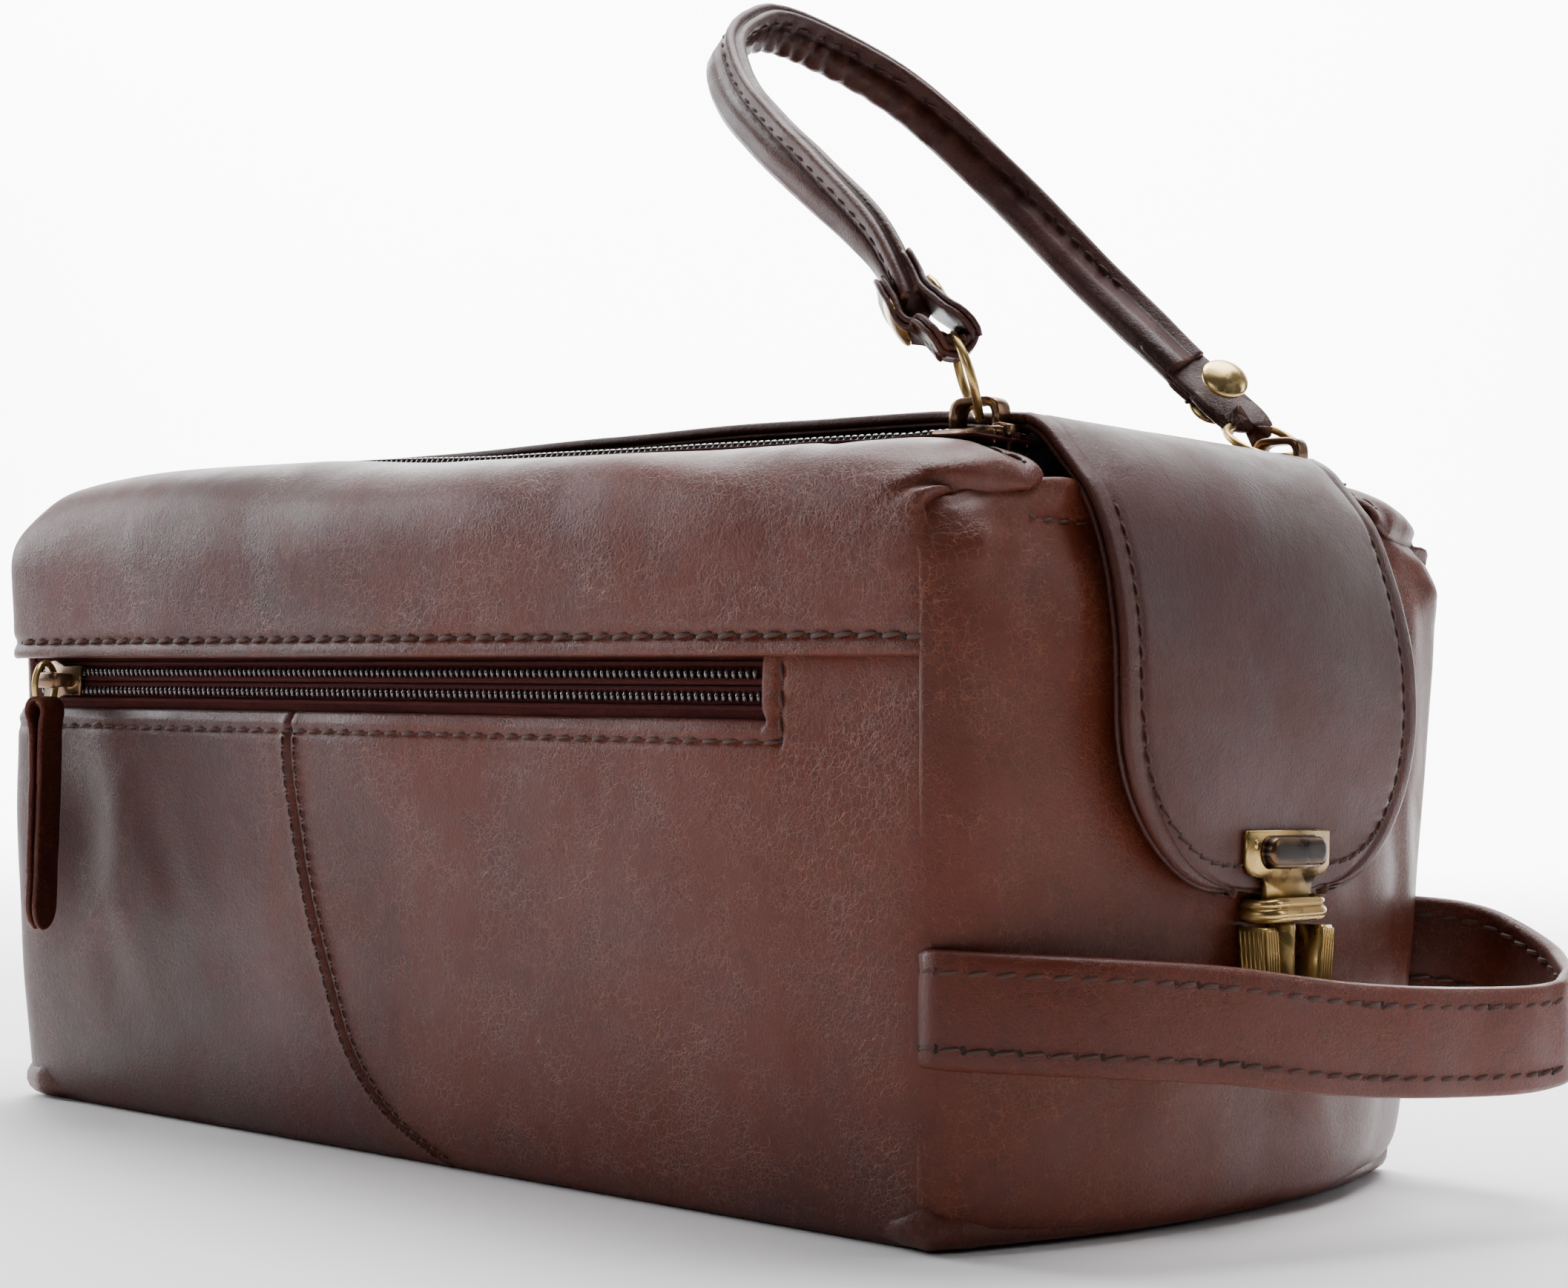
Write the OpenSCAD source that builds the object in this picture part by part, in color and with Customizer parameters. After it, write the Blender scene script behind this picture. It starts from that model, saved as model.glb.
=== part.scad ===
// Leather shaving kit bag with a zipped lid, a clasp flap, a front pocket,
// a carry handle between the two zip sliders and a strap across one end.
// +X runs to the clasp end, -Y to the pocket side, +Z up; the base rests on Z = 0.

/* [Bag] */
// Length of the front and rear panels
bag_length = 274; // [260:1:290]
// Width across the base
base_width = 153; // [150:1:156]
// Width across the shoulders
shoulder_width = 172; // [170:1:174]
// Height of the shoulder seams
shoulder_height = 129; // [127:1:131]
// Height of the panels' top edges
top_height = 147; // [146:0.5:148]
// Radius of the soft shoulders
shoulder_radius = 23; // [18:1:26]
// Thickness of one layer of leather
leather = 2.4; // [2:0.1:2.6]
// How far the clasp end bulges
clasp_bulge = 14; // [13:1:15]
// How far the plain end bulges
plain_bulge = 6; // [4:1:8]

/* [Lid and flap] */
// Distance of each lid zip from the middle of the bag
zip_offset = 51; // [50:0.5:52]
// Half-width of the leather lid
lid_half_width = 43.5; // [42:0.5:44]
// Half-width of the clasp flap
flap_half_width = 48.7; // [46:0.1:50]
// Height of the flap's lowest edge
flap_bottom = 62.5; // [61:0.5:64]

/* [Pocket] */
// Lowest edge of the pocket opening
pocket_low = 90.5; // [89:0.5:92]
// Hem above the pocket opening
pocket_hem = 103.3; // [102:0.1:104]
// Right end of the pocket opening
pocket_right = 100; // [90:1:104]
// Depth of the pocket behind the leather
pocket_depth = 6; // [5:0.5:7]

/* [Zip hardware] */
// Where the lid's sliders stand along the bag
slider_place = 122; // [120:1:123]
// Where the pocket's slider stands along the bag
pocket_slider_place = -116; // [-120:1:-112]
// Radius of the handle rings, to the middle of the wire
ring_radius = 8; // [7.5:0.5:8.5]
// Radius of the handle rings' wire
ring_wire = 0.85; // [0.7:0.05:0.9]

/* [Handle and strap] */
// Width of the handle strap
handle_width = 12; // [10:0.5:13]
// Thickness of the handle strap
handle_thick = 4.6; // [3:0.1:5]
// Width of the strap across the end
strap_width = 20.4; // [18:0.1:22]
// Thickness of the strap across the end
strap_thick = 3.2; // [2.4:0.1:3.6]

/* [Hidden] */
$fn = 72;

big = 400;
half_length = bag_length / 2;
chestnut = "#6d3b2a";
dark_leather = "#5a3226";
fabric = "#1c1a1c";
tape_brown = "#3a2420";
coil_black = "#1a1718";
brass = "#b08d4a";
bronze = "#5b5145";

// Shape of the long sides: they lean out from the base to the shoulders
function side_y(z) = base_width / 2
    + (shoulder_width - base_width) / 2 * z / shoulder_height;
wall_tilt = atan((shoulder_width - base_width) / 2 / shoulder_height);
shoulder_y = shoulder_width / 2 - shoulder_radius;
shoulder_z = top_height - shoulder_radius;
panel_edge_y = zip_offset + 6;

// Shape of the bulging ends: circles seen from above
function bulge_radius(rise) = (80 * 80 + rise * rise) / (2 * rise);
clasp_radius = bulge_radius(clasp_bulge);
clasp_face = half_length + clasp_bulge;
clasp_centre = clasp_face - clasp_radius;
plain_radius = bulge_radius(plain_bulge);
plain_face = half_length + plain_bulge;
plain_centre = plain_radius - plain_face;

// Height of the zip tapes and the things that ride on them
tape_z = top_height - 3.1;
tape_thick = 0.6;
coil_z = tape_z + tape_thick;
coil_thick = 2.3;
coil_near = 1;
coil_far = 3.2;
// How far each lid zip sinks below the panels' edges; side is -1 at the front
front_sink = 3.8;
rear_sink = 1.6;
function sink(side) = side < 0 ? front_sink : rear_sink;

// Height of the base and of what lies on it
base_thick = 2.8;
board_z = 3;
board_thick = 2;
lining = 1;

function arc_points(centre, radius, from, to, steps = 9) =
    [for (i = [0:steps])
        let (a = from + (to - from) * i / steps)
        centre + radius * [cos(a), sin(a)]];

// A profile drawn in Y and Z, extruded along X
module along_x(x0, x1)
    translate([x0, 0, 0])
    rotate([90, 0, 90])
    linear_extrude(x1 - x0)
    children();

// A profile drawn in X and Z, extruded along Y
module along_y(y0, y1)
    translate([0, y1, 0])
    rotate([90, 0, 0])
    linear_extrude(y1 - y0)
    children();

// A leaning strip of the right-hand wall, from height z0 to z1
module wall_strip(z0, z1, inset, thick)
    polygon([
        [side_y(z0) - inset, z0],
        [side_y(z1) - inset, z1],
        [side_y(z1) - inset - thick, z1],
        [side_y(z0) - inset - thick, z0]]);

// The wall and its soft shoulder, from height z0 round to the zip
module shoulder_strip(z0, thick)
    polygon(concat(
        [[side_y(z0), z0]],
        arc_points([shoulder_y, shoulder_z], shoulder_radius, 0, 90),
        [[panel_edge_y, top_height], [panel_edge_y, top_height - thick]],
        arc_points([shoulder_y, shoulder_z], shoulder_radius - thick, 90, 0),
        [[side_y(z0) - thick, z0]]));

// The whole cross-section inside the long walls, less an inset
module section(inset, z0, z1)
    intersection() {
        union() {
            polygon([
                [-side_y(0) + inset, 0],
                [side_y(0) - inset, 0],
                [side_y(shoulder_z) - inset, shoulder_z],
                [-side_y(shoulder_z) + inset, shoulder_z]]);
            for (side = [-1, 1])
                translate([side * shoulder_y, shoulder_z])
                circle(shoulder_radius - inset);
            translate([-shoulder_y, shoulder_z - 1])
            square([2 * shoulder_y, shoulder_radius - inset + 1]);
        }
        translate([-big / 2, z0])
        square([big, z1 - z0]);
    }

// The plan of the bag between its two bulging ends, less an inset
module plan(inset)
    intersection() {
        translate([clasp_centre, 0])
        circle(clasp_radius - inset, $fn = 180);
        translate([plain_centre, 0])
        circle(plain_radius - inset, $fn = 180);
        square([2 * clasp_face, big], center = true);
    }

// The space inside the bag's skin, less an inset all round
module inner_space(inset, z0, z1)
    intersection() {
        along_x(-big / 2, big / 2)
        section(inset, z0, z1);
        translate([0, 0, z0])
        linear_extrude(z1 - z0)
        plan(inset);
    }

// ---- leather panels of the body ----

module base_panel()
    color(dark_leather)
    inner_space(leather + 0.1, 0, base_thick);

module base_board()
    color("#8a7458")
    inner_space(leather + 2, board_z, board_z + board_thick);

// Everything on the plain side of the curved seam on the front
module left_of_seam()
    along_y(-big / 2, 0)
    polygon([[-big, -1], [8, -1], [8, 2], [-7, 10.5], [-17.4, 23], [-24.2, 40],
        [-30, 57.7], [-34.3, 76.6], [-34.7, 86.7], [-34.7, big], [-big, big]]);

module pocket_gap()
    translate([-half_length - 1, -big / 2, pocket_low])
    cube([pocket_right + half_length + 1, big / 2, big]);

module front_wall()
    difference() {
        along_x(-half_length, half_length)
        mirror([1, 0])
        wall_strip(0, pocket_hem - 0.1, 0, leather);
        pocket_gap();
    }

module front_left_panel()
    color(chestnut)
    intersection() {
        front_wall();
        left_of_seam();
    }

module front_right_panel()
    color(chestnut)
    difference() {
        front_wall();
        left_of_seam();
    }

module front_upper_panel()
    color(chestnut)
    along_x(-half_length, half_length)
    mirror([1, 0])
    shoulder_strip(pocket_hem, leather);

module rear_panel()
    color(chestnut)
    along_x(-half_length, half_length)
    shoulder_strip(0, leather);

// The clasp end is open in the middle above this height
end_top = 131;
end_gap_half = 44;

module clasp_end_panel()
    color(chestnut)
    difference() {
        intersection() {
            along_x(half_length - 4, clasp_face + 1)
            difference() {
                section(leather + 0.1, base_thick + 0.1, tape_z - 0.5);
                translate([-end_gap_half, end_top])
                square([2 * end_gap_half, 30]);
            }
            translate([clasp_centre, 0, 0])
            cylinder(big, r = clasp_radius, $fn = 180);
        }
        translate([clasp_centre, 0, -1])
        cylinder(big, r = clasp_radius - leather, $fn = 180);
    }

module plain_end_panel()
    color(chestnut)
    difference() {
        intersection() {
            along_x(-plain_face - 1, -half_length + 4)
            section(leather + 0.1, base_thick + 0.1, tape_z - 0.5);
            translate([plain_centre, 0, 0])
            cylinder(big, r = plain_radius, $fn = 180);
        }
        translate([plain_centre, 0, -1])
        cylinder(big, r = plain_radius - leather, $fn = 180);
    }

// Turned leather strip along the top of the clasp end
binding_rise = 2.2;
module end_binding()
    color(dark_leather)
    intersection() {
        difference() {
            translate([clasp_centre, 0, end_top + 0.1])
            cylinder(binding_rise, r = clasp_radius - 0.2, $fn = 180);
            translate([clasp_centre, 0, end_top])
            cylinder(binding_rise + 1, r = clasp_radius - leather + 0.2, $fn = 180);
        }
        along_x(half_length - 4, clasp_face + 1)
        translate([-end_gap_half + 0.3, 0])
        square([2 * end_gap_half - 0.6, big]);
    }

// ---- fabric inside ----

// Distance from the front wall's face to the pocket's back and to the lining
pocket_back = leather + pocket_depth;
front_inset = pocket_back + 2 * lining + 0.8;
lining_inset = leather + 0.5;
lining_floor = board_z + board_thick + 0.3;
lining_top = 140;

module front_cut(inset)
    along_x(-big / 2, big / 2)
    mirror([1, 0])
    polygon([
        [side_y(-20) - inset, -20],
        [side_y(200) - inset, 200],
        [big, 200],
        [big, -20]]);

module main_lining()
    color(fabric)
    difference() {
        inner_space(lining_inset, lining_floor, lining_top);
        front_cut(front_inset - lining);
        difference() {
            inner_space(lining_inset + lining, lining_floor + lining, lining_top + 1);
            front_cut(front_inset);
        }
    }

// A flat bag hanging behind the front wall, open at the pocket's zip
pocket_floor = 12;
pocket_sides = 132.5;
pocket_lining_top = 116;
module pocket_lining()
    color(fabric)
    difference() {
        along_x(-pocket_sides, pocket_sides)
        mirror([1, 0])
        wall_strip(pocket_floor, pocket_lining_top, leather + 0.2, pocket_depth + lining);
        along_x(-pocket_sides + lining, pocket_sides - lining)
        mirror([1, 0])
        wall_strip(pocket_floor + lining, pocket_lining_top - lining,
            leather, pocket_depth + 0.2);
    }

// ---- pocket zip, drawn flat: X along the zip, Z up the wall, -Y outwards ----

pocket_zip_z = (pocket_low + pocket_hem) / 2 + 0.4;
pocket_zip_left = -half_length + 6;

module on_front_wall()
    translate([0, -side_y(pocket_zip_z), pocket_zip_z])
    rotate([wall_tilt, 0, 0])
    children();

module pocket_tape(side)
    color(tape_brown)
    on_front_wall()
    translate([pocket_zip_left, leather + 0.3, side > 0 ? 0.9 : -9.9])
    cube([pocket_right + 8 - pocket_zip_left, tape_thick, 9]);

module pocket_coil(side)
    color(coil_black)
    on_front_wall()
    translate([pocket_zip_left + 2, 0.4, side > 0 ? 0.8 : -3.2])
    cube([pocket_right - 1 - pocket_zip_left - 2, 2.2, 2.4]);

module pocket_upper_tape() pocket_tape(1);
module pocket_lower_tape() pocket_tape(-1);
module pocket_upper_coil() pocket_coil(1);
module pocket_lower_coil() pocket_coil(-1);

// ---- lid zips ----

zip_left = -half_length + 3;
zip_right = half_length - 1;

// side is -1 at the front and 1 at the rear; lid is -1 for the half on the lid
module lid_zip_strip(side, lid, near, far, z, thick, inset)
    translate([zip_left + inset, 0, z - sink(side)])
    mirror([0, side < 0 ? 1 : 0, 0])
    translate([0, lid < 0 ? zip_offset - far : zip_offset + near, 0])
    cube([zip_right - zip_left - 2 * inset, far - near, thick]);

module zip_tape(side, lid)
    color(tape_brown)
    lid_zip_strip(side, lid, coil_near + 0.4, 12, tape_z, tape_thick, 0);

module zip_coil(side, lid)
    color(coil_black)
    lid_zip_strip(side, lid, coil_near, coil_far, coil_z + 0.05, coil_thick, 2.5);

module front_body_tape() zip_tape(-1, 1);
module rear_body_tape() zip_tape(1, 1);
module front_lid_tape() zip_tape(-1, -1);
module rear_lid_tape() zip_tape(1, -1);
module front_body_coil() zip_coil(-1, 1);
module rear_body_coil() zip_coil(1, 1);
module front_lid_coil() zip_coil(-1, -1);
module rear_lid_coil() zip_coil(1, -1);

// Metal stops clamped on the ends of the body's halves of both zips
module zip_stops()
    color(bronze)
    for (side = [-1, 1], x = [zip_left + 0.3, zip_right - 2.3])
        translate([x, side * (zip_offset + 2.4) - 1, coil_z + 0.05 - sink(side)])
        cube([2, 2, 2.2]);

// ---- lid ----

lid_left = -half_length + 1;
lid_right = half_length + 2.5;
lid_z = tape_z + 1;
lid_thick = 3;

module lid_panel()
    color(chestnut)
    translate([lid_left, -lid_half_width, lid_z])
    cube([lid_right - lid_left, 2 * lid_half_width, lid_thick]);

module lid_lining()
    color(fabric)
    translate([lid_left + 2, -36.5, tape_z - 0.6])
    cube([lid_right - lid_left - 6, 73, 1.2]);

// ---- flap ----

flap_root = lid_right + 0.2;
flap_bend = 12.4;
flap_top = lid_z + lid_thick;
flap_face = flap_root + 3.3 + flap_bend;
flap_skin = 2;
flap_corner = 31;

// A strip that leaves the lid, bends over the end and hangs down it
module flap_strip(inset, thick)
    polygon(concat(
        [[flap_root, flap_top - inset]],
        arc_points([flap_root + 3.3, flap_top - flap_bend], flap_bend - inset, 90, 0),
        [[flap_face - inset, 0], [flap_face - inset - thick, 0]],
        arc_points([flap_root + 3.3, flap_top - flap_bend],
            flap_bend - inset - thick, 0, 90),
        [[flap_root, flap_top - inset - thick]]));

module flap_outline(inset) {
    half = flap_half_width - inset;
    corner = flap_corner - inset;
    for (side = [-1, 1])
        translate([side * (half - corner), flap_bottom + 1.5 + flap_corner])
        circle(corner);
    translate([corner - half, flap_bottom + inset])
    square([2 * (half - corner), 60]);
    translate([-half, flap_bottom + 1.5 + flap_corner])
    square([2 * half, 80]);
}

module flap_layer(inset, thick, edge)
    intersection() {
        along_y(-60, 60)
        flap_strip(inset, thick);
        along_x(100, 200)
        flap_outline(edge);
    }

module flap_outer()
    color(chestnut)
    flap_layer(0, flap_skin, 0);

module flap_lining()
    color(dark_leather)
    flap_layer(flap_skin, 0.8, 0.6);

// ---- clasp ----

plate_back = flap_face + 0.05;
plate_thick = 1.2;
collar_top = 60.3;
collar_height = 4.2;
collar_x = plate_back + plate_thick / 2;
lock_back = clasp_face + 0.1;

module clasp_plate()
    color(brass)
    along_x(plate_back, plate_back + plate_thick)
    polygon([[-14.3, 73], [14.3, 73], [14.3, 67], [8, 63.8], [7.6, 58.5],
        [-7.6, 58.5], [-8, 63.8], [-14.3, 67]]);

module clasp_boss()
    color(bronze)
    translate([plate_back + plate_thick, 0, 69])
    rotate([90, 0, 90])
    linear_extrude(2.6) {
        for (side = [-1, 1])
            translate([side * 7, 0])
            circle(2.9);
        square([14, 5.8], center = true);
    }

// A flat-sided oval drawn in X and Y
module oval(radius)
    union() {
        for (side = [-1, 1])
            translate([0, side * 7.2])
            circle(radius);
        square([2 * radius, 14.4], center = true);
    }

module clasp_collar()
    color(brass)
    translate([collar_x, 0, collar_top - collar_height])
    linear_extrude(collar_height)
    difference() {
        oval(3.7);
        oval(2.6);
    }

pin_radius = 0.9;
pin_y = 8.6;
pin_z = 40;
lever_play = 0.05;
lever_back = lock_back + 2.6;
lever_deep = 6.4;

// Base plate with the lock's barrel and the two lever pins
module clasp_base()
    color(brass) {
        translate([lock_back, -14.5, 34])
        cube([1.2, 29, 29.5]);
        translate([collar_x, 0, 35])
        cylinder(20.9, r = 2.5);
        translate([lock_back + 1.2, -1.2, 36])
        cube([3, 2.4, 18]);
        for (side = [-1, 1])
            translate([lock_back + 1.2, side * pin_y, pin_z])
            rotate([0, 90, 0])
            cylinder(lever_deep + 2.4, r = pin_radius);
    }

module clasp_rivets()
    color(bronze)
    for (side = [-1, 1])
        translate([lock_back + 1.2, side * 12.2, 59.6])
        rotate([0, 90, 0])
        cylinder(0.5, r = 1.6);

module lever(side)
    color(brass)
    difference() {
        translate([lever_back, 0, 0])
        mirror([0, side < 0 ? 1 : 0, 0])
        along_x(0, lever_deep)
        polygon([[6.4, 36.5], [10.8, 36.5], [10.6, 46], [12.2, 55.2], [7.6, 55.2],
            [6.6, 46]]);
        translate([lever_back - 1, side * pin_y, pin_z])
        rotate([0, 90, 0])
        cylinder(lever_deep + 2, r = pin_radius + lever_play);
    }

module left_lever() lever(-1);
module right_lever() lever(1);

// ---- lid sliders and rings ----

slider_length = 16;
slider_width = 10;
function crown_hole(side) = [slider_place, side * zip_offset, 150.7 - sink(side)];

module slider(side)
    color(bronze)
    translate([slider_place, side * zip_offset, -sink(side)]) {
        for (z = [top_height + 0.25, tape_z - 1.8])
            translate([-slider_length / 2, -slider_width / 2, z])
            cube([slider_length, slider_width, 1.3]);
        for (edge = [-1, 1])
            translate([-slider_length / 2, edge * (slider_width / 2 - 0.4) - 0.4,
                tape_z + 1])
            cube([slider_length, 0.8, 2.3]);
        translate([3, -0.6, tape_z - 1.8])
        cube([3, 1.2, 6]);
        along_y(-1.4, 1.4)
        difference() {
            translate([-5.6, 148.4])
            square([11.2, 6.2]);
            translate([-4.1, 148.55])
            square([8.2, 4.6]);
        }
    }

module front_slider() slider(-1);
module rear_slider() slider(1);

// Each ring: the side it's on, how its wire turns in the slider, how far it leans
front_turn = 42;
front_lean = 19;
rear_turn = -27;
rear_lean = 60;

// Turns the frame that stands on a slider so that Z points to the ring's far side
module at_ring(side, turn, lean)
    translate(crown_hole(side))
    rotate([0, 0, turn])
    rotate([0, -lean, 0])
    children();

module ring(radius, wire)
    translate([0, 0, radius])
    rotate([0, 90, 0])
    rotate_extrude()
    translate([radius, 0])
    circle(wire, $fn = 24);

module front_ring()
    color(brass)
    at_ring(-1, front_turn, front_lean)
    ring(ring_radius, ring_wire);

module rear_ring()
    color(brass)
    at_ring(1, rear_turn, rear_lean)
    ring(ring_radius, ring_wire);

// Place of a ring's far side, where the handle's end wraps it
function ring_far(side, turn, lean) =
    crown_hole(side)
    + 2 * ring_radius
        * [-sin(lean) * cos(turn), -sin(lean) * sin(turn), cos(lean)];
front_loop = ring_far(-1, front_turn, front_lean);
rear_loop = ring_far(1, rear_turn, rear_lean);

// ---- swept straps ----

function unit(v) = v / norm(v);

// A point on a smooth curve through p, with u running from 0 to len(p) - 1
function on_curve(p, u) =
    let (
        last = len(p) - 1,
        i = min(floor(u), last - 1),
        t = u - i,
        a = p[max(i - 1, 0)],
        b = p[i],
        c = p[i + 1],
        d = p[min(i + 2, last)])
    0.5 * (2 * b + (c - a) * t + (2 * a - 5 * b + 4 * c - d) * t * t
        + (3 * b - a - 3 * c + d) * t * t * t);

// A flat strap along a curve; wide holds its width direction at each point
module strap(points, wide, width, thick, rings) {
    last = len(points) - 1;
    step = last / rings;
    corners = [for (i = [0:rings])
        let (
            u = i * step,
            here = on_curve(points, u),
            ahead = unit(on_curve(points, min(u + 0.02, last))
                - on_curve(points, max(u - 0.02, 0))),
            w0 = on_curve(wide, u),
            w = unit(w0 - ahead * (w0 * ahead)),
            n = cross(w, ahead))
        each [
            here + w * width / 2 + n * thick / 2,
            here - w * width / 2 + n * thick / 2,
            here - w * width / 2 - n * thick / 2,
            here + w * width / 2 - n * thick / 2]];
    sides = [for (i = [0:rings - 1], k = [0:3])
        let (a = 4 * i + k, b = 4 * i + (k + 1) % 4)
        each [[a, a + 4, b], [b, a + 4, b + 4]]];
    polyhedron(corners,
        concat(sides, [[0, 1, 2], [0, 2, 3],
            [for (k = [2:-1:0]) 4 * rings + k], [4 * rings, 4 * rings + 3, 4 * rings + 2]]));
}

// The handle's middle line: it leans back over the lid from both rings
handle_points = [[109, -54, 168], [97, -52, 182], [79, -48.5, 195.5],
    [62, -44, 207.5], [46, -37, 219.5], [34, -27, 232], [29, -10, 241],
    [31, 8, 239.5], [40, 25, 231], [56, 39, 212.5], [76, 48, 190], [96, 54, 170]];
handle_wide = [[0.67, -0.74, 0.05], [0.68, -0.5, 0.4], [0.68, -0.25, 0.65],
    [0.66, -0.1, 0.75], [0.66, 0, 0.75], [0.66, 0, 0.75], [0.66, 0, 0.75],
    [0.66, 0, 0.75], [0.66, 0.1, 0.73], [0.66, 0.35, 0.6], [0.6, 0.65, 0.35],
    [0.5, 0.85, 0.1]];

module handle_strap()
    color(dark_leather)
    strap(handle_points, handle_wide, handle_width, handle_thick, 66);

loop_bore = 4;
loop_wall = 2;
loop_length = 5;

// The strap's end, folded round the ring: a short tube with a tail to the strap
module handle_end(side, turn, lean, far, to)
    color(dark_leather) {
        way = unit(to - far);
        angle_up = acos(way[2]);
        angle_round = atan2(way[1], way[0]);
        difference() {
            union() {
                at_ring(side, turn, lean)
                translate([0, 0, 2 * ring_radius])
                rotate([90, 0, 0])
                cylinder(loop_length, r = loop_bore + loop_wall, center = true);
                translate(far)
                rotate([0, 0, angle_round])
                rotate([0, angle_up, 0])
                translate([-2.6, -2.6, loop_bore + 0.5])
                cube([5.2, 5.2, norm(to - far) - loop_bore - 2]);
            }
            at_ring(side, turn, lean)
            translate([0, 0, 2 * ring_radius])
            rotate([90, 0, 0])
            cylinder(loop_length + 30, r = loop_bore, center = true);
        }
    }

module handle_front_end()
    handle_end(-1, front_turn, front_lean, front_loop, handle_points[0]);

module handle_rear_end()
    handle_end(1, rear_turn, rear_lean, rear_loop, handle_points[11]);

// Brass caps through the folded ends
module rivet_pair(at, normal)
    for (face = [-1, 1])
        translate(at + normal * (handle_thick / 2 + 0.4) * face)
        rotate([0, 0, atan2(normal[1], normal[0])])
        rotate([0, acos(normal[2]), 0])
        cylinder(1.4, r = 5.2, center = true);

module handle_rivets()
    color(brass)
    for (end = [0, 11]) {
        next = end == 0 ? 1 : 10;
        at = handle_points[end] * 0.7 + handle_points[next] * 0.3;
        ahead = unit(handle_points[next] - handle_points[end]);
        wide = unit(handle_wide[end] - ahead * (handle_wide[end] * ahead));
        rivet_pair(at, cross(wide, ahead));
    }

// ---- strap across the clasp end ----

strap_points = [[137.5, -81, 42.6], [144, -79, 42.6], [158, -62, 41.8],
    [168, -38, 40], [176, -10, 36.5], [182, 16, 34.8], [187, 42, 34.4],
    [185.5, 56, 36.2], [176, 70, 39.5], [160, 80, 44.5], [146, 83, 47.2],
    [139, 83.5, 48]];
strap_up = [for (p = strap_points) [0, 0, 1]];

module side_strap()
    color(chestnut)
    strap(strap_points, strap_up, strap_width, strap_thick, 55);

// ---- pocket slider, ring and tab ----

pocket_hole_out = 2.8;
pocket_ring_radius = 5;
pocket_ring_wire = 0.75;
pocket_turn = 30;
pocket_droop = 15;
tab_length = 50;
tab_width = 8;
tab_thick = 3.4;

module pocket_slider()
    color(bronze)
    on_front_wall()
    translate([pocket_slider_place, 0, 0]) {
        for (y = [-0.9, leather + 1.2])
            translate([-6.5, y, -4.6])
            cube([13, 1, 9.2]);
        translate([-5.5, -0.9, -0.55])
        cube([2.5, leather + 3, 1.1]);
        translate([0, 0, -1.7])
        linear_extrude(3.4)
        difference() {
            translate([-4, -pocket_hole_out - 3])
            square([8, pocket_hole_out + 2.4]);
            translate([-2.6, -pocket_hole_out - 1.7])
            square([5.2, 3.4]);
        }
    }

pocket_hole = [pocket_slider_place,
    -side_y(pocket_zip_z) - pocket_hole_out, pocket_zip_z];
pocket_out = [sin(pocket_turn), -cos(pocket_turn), 0];
pocket_ring_centre = pocket_hole
    + pocket_ring_radius * (pocket_out * cos(pocket_droop)
        - [0, 0, sin(pocket_droop)]);
tab_hinge = pocket_ring_centre - [0, 0, pocket_ring_radius];

module pocket_ring()
    color(brass)
    translate(pocket_ring_centre)
    rotate([0, 0, pocket_turn])
    rotate([0, 90, 0])
    rotate_extrude()
    translate([pocket_ring_radius, 0])
    circle(pocket_ring_wire, $fn = 24);

module pocket_tab()
    color(chestnut)
    translate(tab_hinge)
    rotate([0, 0, pocket_turn])
    difference() {
        union() {
            rotate([90, 0, 0])
            cylinder(5, r = 3, center = true);
            translate([-tab_thick / 2, -tab_width / 2, -tab_length])
            cube([tab_thick, tab_width, tab_length - 2.6]);
        }
        rotate([90, 0, 0])
        cylinder(12, r = 1.8, center = true);
    }

base_panel();
base_board();
front_left_panel();
front_right_panel();
front_upper_panel();
rear_panel();
clasp_end_panel();
plain_end_panel();
end_binding();
main_lining();
pocket_lining();
pocket_upper_tape();
pocket_lower_tape();
pocket_upper_coil();
pocket_lower_coil();
front_body_tape();
rear_body_tape();
front_body_coil();
rear_body_coil();
zip_stops();
side_strap();
clasp_base();
clasp_collar();
clasp_rivets();
lid_panel();
lid_lining();
front_lid_tape();
rear_lid_tape();
front_lid_coil();
rear_lid_coil();
flap_outer();
flap_lining();
clasp_plate();
clasp_boss();
left_lever();
right_lever();
front_slider();
rear_slider();
front_ring();
rear_ring();
handle_strap();
handle_front_end();
handle_rear_end();
handle_rivets();
pocket_slider();
pocket_ring();
pocket_tab();
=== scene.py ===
"""Looks of the leather shaving kit bag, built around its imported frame."""
import math
import random

import bmesh
import bpy
import numpy as np
from mathutils import Matrix, Vector, noise


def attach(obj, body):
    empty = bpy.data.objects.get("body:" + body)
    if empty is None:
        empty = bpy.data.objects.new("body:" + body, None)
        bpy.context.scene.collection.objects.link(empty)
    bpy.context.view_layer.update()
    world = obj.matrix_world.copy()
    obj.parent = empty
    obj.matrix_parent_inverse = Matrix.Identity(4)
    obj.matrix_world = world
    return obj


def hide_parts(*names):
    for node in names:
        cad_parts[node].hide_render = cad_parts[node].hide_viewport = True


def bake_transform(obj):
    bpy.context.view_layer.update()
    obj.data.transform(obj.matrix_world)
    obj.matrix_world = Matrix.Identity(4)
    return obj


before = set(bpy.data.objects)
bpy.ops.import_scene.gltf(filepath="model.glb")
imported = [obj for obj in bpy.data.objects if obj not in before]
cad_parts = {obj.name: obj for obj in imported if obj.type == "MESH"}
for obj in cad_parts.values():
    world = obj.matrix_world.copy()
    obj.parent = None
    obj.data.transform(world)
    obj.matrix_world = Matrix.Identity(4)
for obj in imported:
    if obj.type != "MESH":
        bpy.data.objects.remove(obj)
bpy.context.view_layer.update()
MM = 0.001

# ---- the bag's own sizes, in millimetres ----

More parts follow.
